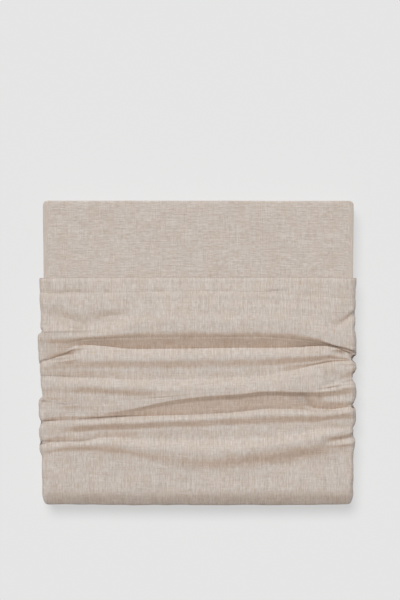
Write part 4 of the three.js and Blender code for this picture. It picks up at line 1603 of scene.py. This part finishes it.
@dataclass
class HemStitching:
    """The line of machine stitches that holds the turned hem.

    Attributes:
        pitch: From one stitch to the next.
        length: Of the thread that shows.
        thickness: Of the thread.
        proud: How far the middle of the thread is out of the cloth.
    """

    pocket: TurnedPocket = field(default_factory=TurnedPocket)
    finish: SewingThread = field(default_factory=SewingThread)
    pitch: float = 3.4
    length: float = 2.5
    thickness: float = 0.5
    proud: float = 0.08

    def line(self) -> tuple[Points, Points, Points]:
        """Finds the line of the stitching over the pocket, from its left foot to its right one.

        Returns:
            The points of the line, and of the rows of the pocket before it and after it.
        """
        points = self.pocket.outer_grid().points
        row = sum(line.steps for line in FOLD_LINES[:SEAM_LINE])
        foot = self.pocket.foot_steps
        return points[row, foot:-foot], points[row - 1, foot:-foot], points[row + 1, foot:-foot]

    def build(self) -> bpy.types.Object:
        """Models one stitch, and lays copies of it along the line.

        Returns:
            The stitches as one object, in metres and in the frame of the CAD model.
        """
        bpy.ops.object.select_all(action="DESELECT")
        bpy.ops.mesh.primitive_uv_sphere_add(segments=8, ring_count=6, radius=0.5)
        model = bpy.context.active_object
        bpy.ops.object.mode_set(mode="EDIT")
        bpy.ops.mesh.select_all(action="SELECT")
        bpy.ops.transform.resize(value=(self.thickness, self.thickness, self.length))
        bpy.ops.object.mode_set(mode="OBJECT")
        shape = np.array([tuple(vertex.co) for vertex in model.data.vertices])
        shape_faces = [tuple(face.vertices) for face in model.data.polygons]
        bpy.data.objects.remove(model)

        line, above, below = self.line()
        run = np.concatenate([[0.0], np.cumsum(np.linalg.norm(np.diff(line, axis=0), axis=1))])
        points: list[Points] = []
        faces: Faces = []
        for number in range(int(run[-1] / self.pitch)):
            at = (number + 0.5) * self.pitch
            ends = [at - self.length / 2.0, at + self.length / 2.0]
            start, end = (point_at(place, run, line) for place in ends)
            along = (end - start) / np.linalg.norm(end - start)
            sideways = point_at(at, run, above) - point_at(at, run, below)
            sideways = sideways - along * sideways.dot(along)
            sideways = sideways / np.linalg.norm(sideways)
            out = np.cross(along, sideways)
            placed = shape[:, :1] * sideways + shape[:, 1:2] * out + shape[:, 2:] * along
            faces.extend(tuple(corner + number * len(shape) for corner in face) for face in shape_faces)
            points.append(placed + (start + end) / 2.0 + out * self.proud)
        stitches = new_object("hem_stitching", np.vstack(points), faces)
        bpy.ops.object.mode_set(mode="EDIT")
        bpy.ops.mesh.select_all(action="SELECT")
        bpy.ops.mesh.normals_make_consistent(inside=False)
        bpy.ops.object.mode_set(mode="OBJECT")
        bpy.ops.object.shade_smooth()
        stitches.data.materials.append(self.finish.material())
        return stitches

    def declare(self, stitches: bpy.types.Object) -> None:
        """Makes the stitches move with the cover."""
        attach(stitches, BODY)


def new_object(name: str, points: Points, faces: Faces) -> bpy.types.Object:
    """Makes a mesh in the frame of the CAD model.

    Args:
        name: What it is called.
        points: Its points in millimetres, counted from the middle of the stack.
        faces: The numbers of each face's corners.

    Returns:
        The object, in metres, selected and active.
    """
    data = bpy.data.meshes.new(name)
    data.from_pydata(((points - BOX_MIDDLE) * MM).tolist(), [], faces)
    made = bpy.data.objects.new(name, data)
    bpy.context.scene.collection.objects.link(made)
    bpy.ops.object.select_all(action="DESELECT")
    made.select_set(True)
    bpy.context.view_layer.objects.active = made
    return made


@dataclass
class Studio:
    """A pale floor, soft light from behind the cover, and a camera straight above it.

    Attributes:
        millimetres_to_pixel: How much of the top of the cover one pixel takes in.
        image_middle: The point of the cover under the camera, counted from the middle of the stack.
        image_pixels: How wide and how high the image is.
        camera_height: Of the camera over the floor, in metres.
        top_height: Of the cover's top, where the scale holds.
        light_elevation: How high the light hangs, in degrees.
        light_from_left: How far it hangs to the left of straight behind, in degrees.
        light_spread: How wide it looks from the cover, in degrees.
        light_power: How strong it is.
        fill: How bright the even surround is.
        floor_size: Of the floor, in metres.
        floor_drop: How far it lies under the cover, in metres.
    """

    millimetres_to_pixel: float = 1.15
    image_middle: tuple[float, float] = (2.0, 60.5)
    image_pixels: tuple[int, int] = (400, 600)
    camera_height: float = 2.2
    top_height: float = 39.5
    light_elevation: float = 63.0
    light_from_left: float = 20.0
    light_spread: float = 28.0
    light_power: float = 2.72
    fill: float = 0.21
    floor_size: float = 12.0
    floor_drop: float = 0.0002
    floor_finish: OpalFloor = field(default_factory=OpalFloor)

    def build_floor(self) -> None:
        """Lays the floor just under the cover."""
        bpy.ops.object.select_all(action="DESELECT")
        bpy.ops.mesh.primitive_plane_add(size=self.floor_size, location=(0.0, 0.0, 0.0))
        floor = bpy.context.active_object
        floor.name = "studio_floor"
        bpy.ops.object.mode_set(mode="EDIT")
        bpy.ops.mesh.select_all(action="SELECT")
        bpy.ops.transform.translate(value=(0.0, 0.0, -self.floor_drop))
        bpy.ops.object.mode_set(mode="OBJECT")
        floor.data.materials.append(self.floor_finish.material())

    def build_lights(self) -> None:
        """Hangs one wide soft light behind the cover, and fills the rest with an even pale surround."""
        up = math.radians(self.light_elevation)
        left = math.radians(self.light_from_left)
        towards = Vector((-math.sin(left) * math.cos(up), math.cos(left) * math.cos(up), math.sin(up)))
        lamp = bpy.data.lights.new("soft_key", "SUN")
        lamp.angle = math.radians(self.light_spread)
        lamp.energy = self.light_power
        key = bpy.data.objects.new("soft_key", lamp)
        bpy.context.scene.collection.objects.link(key)
        key.location = towards * self.camera_height
        key.rotation_mode = "QUATERNION"
        key.rotation_quaternion = towards.to_track_quat("Z", "Y")
        world = bpy.data.worlds.new("pale_surround")
        world.use_nodes = True
        surround = world.node_tree.nodes["Background"]
        surround.inputs["Color"].default_value = linear("#fbfbfb")
        surround.inputs["Strength"].default_value = self.fill
        bpy.context.scene.world = world

    def build_camera(self) -> None:
        """Hangs the camera over the cover, with a long lens, looking straight down."""
        sensor = 36.0
        drop = self.camera_height - self.top_height * MM
        seen_height = self.image_pixels[1] * self.millimetres_to_pixel * MM
        lens = bpy.data.cameras.new("photo_camera")
        lens.sensor_width = sensor
        lens.lens = sensor * drop / seen_height
        lens.clip_start = 0.05
        lens.clip_end = 60.0
        camera = bpy.data.objects.new("photo_camera", lens)
        bpy.context.scene.collection.objects.link(camera)
        over_x = (self.image_middle[0] - BOX_MIDDLE[0]) * MM
        over_y = (self.image_middle[1] - BOX_MIDDLE[1]) * MM
        camera.location = (over_x, over_y, self.camera_height)
        bpy.context.scene.camera = camera

    def build(self) -> None:
        """Sets up the floor, the lights, the camera and the plain colour display."""
        self.build_floor()
        self.build_lights()
        self.build_camera()
        bpy.context.scene.view_settings.view_transform = "Standard"


def main() -> None:
    """Builds the studio, the cover and its stitching in order, and reports each piece."""
    logging.basicConfig(level=logging.INFO, format="%(name)s: %(message)s")
    Studio().build()
    LOG.info("studio: floor, light and camera")
    cover = FoldedCover()
    cloth = cover.build()
    cover.declare(cloth)
    LOG.info("cloth: %d points", len(cloth.data.vertices))
    stitching = HemStitching(pocket=cover.pocket)
    stitches = stitching.build()
    stitching.declare(stitches)
    LOG.info("stitching: %d faces", len(stitches.data.polygons))


if __name__ == "__main__":
    main()
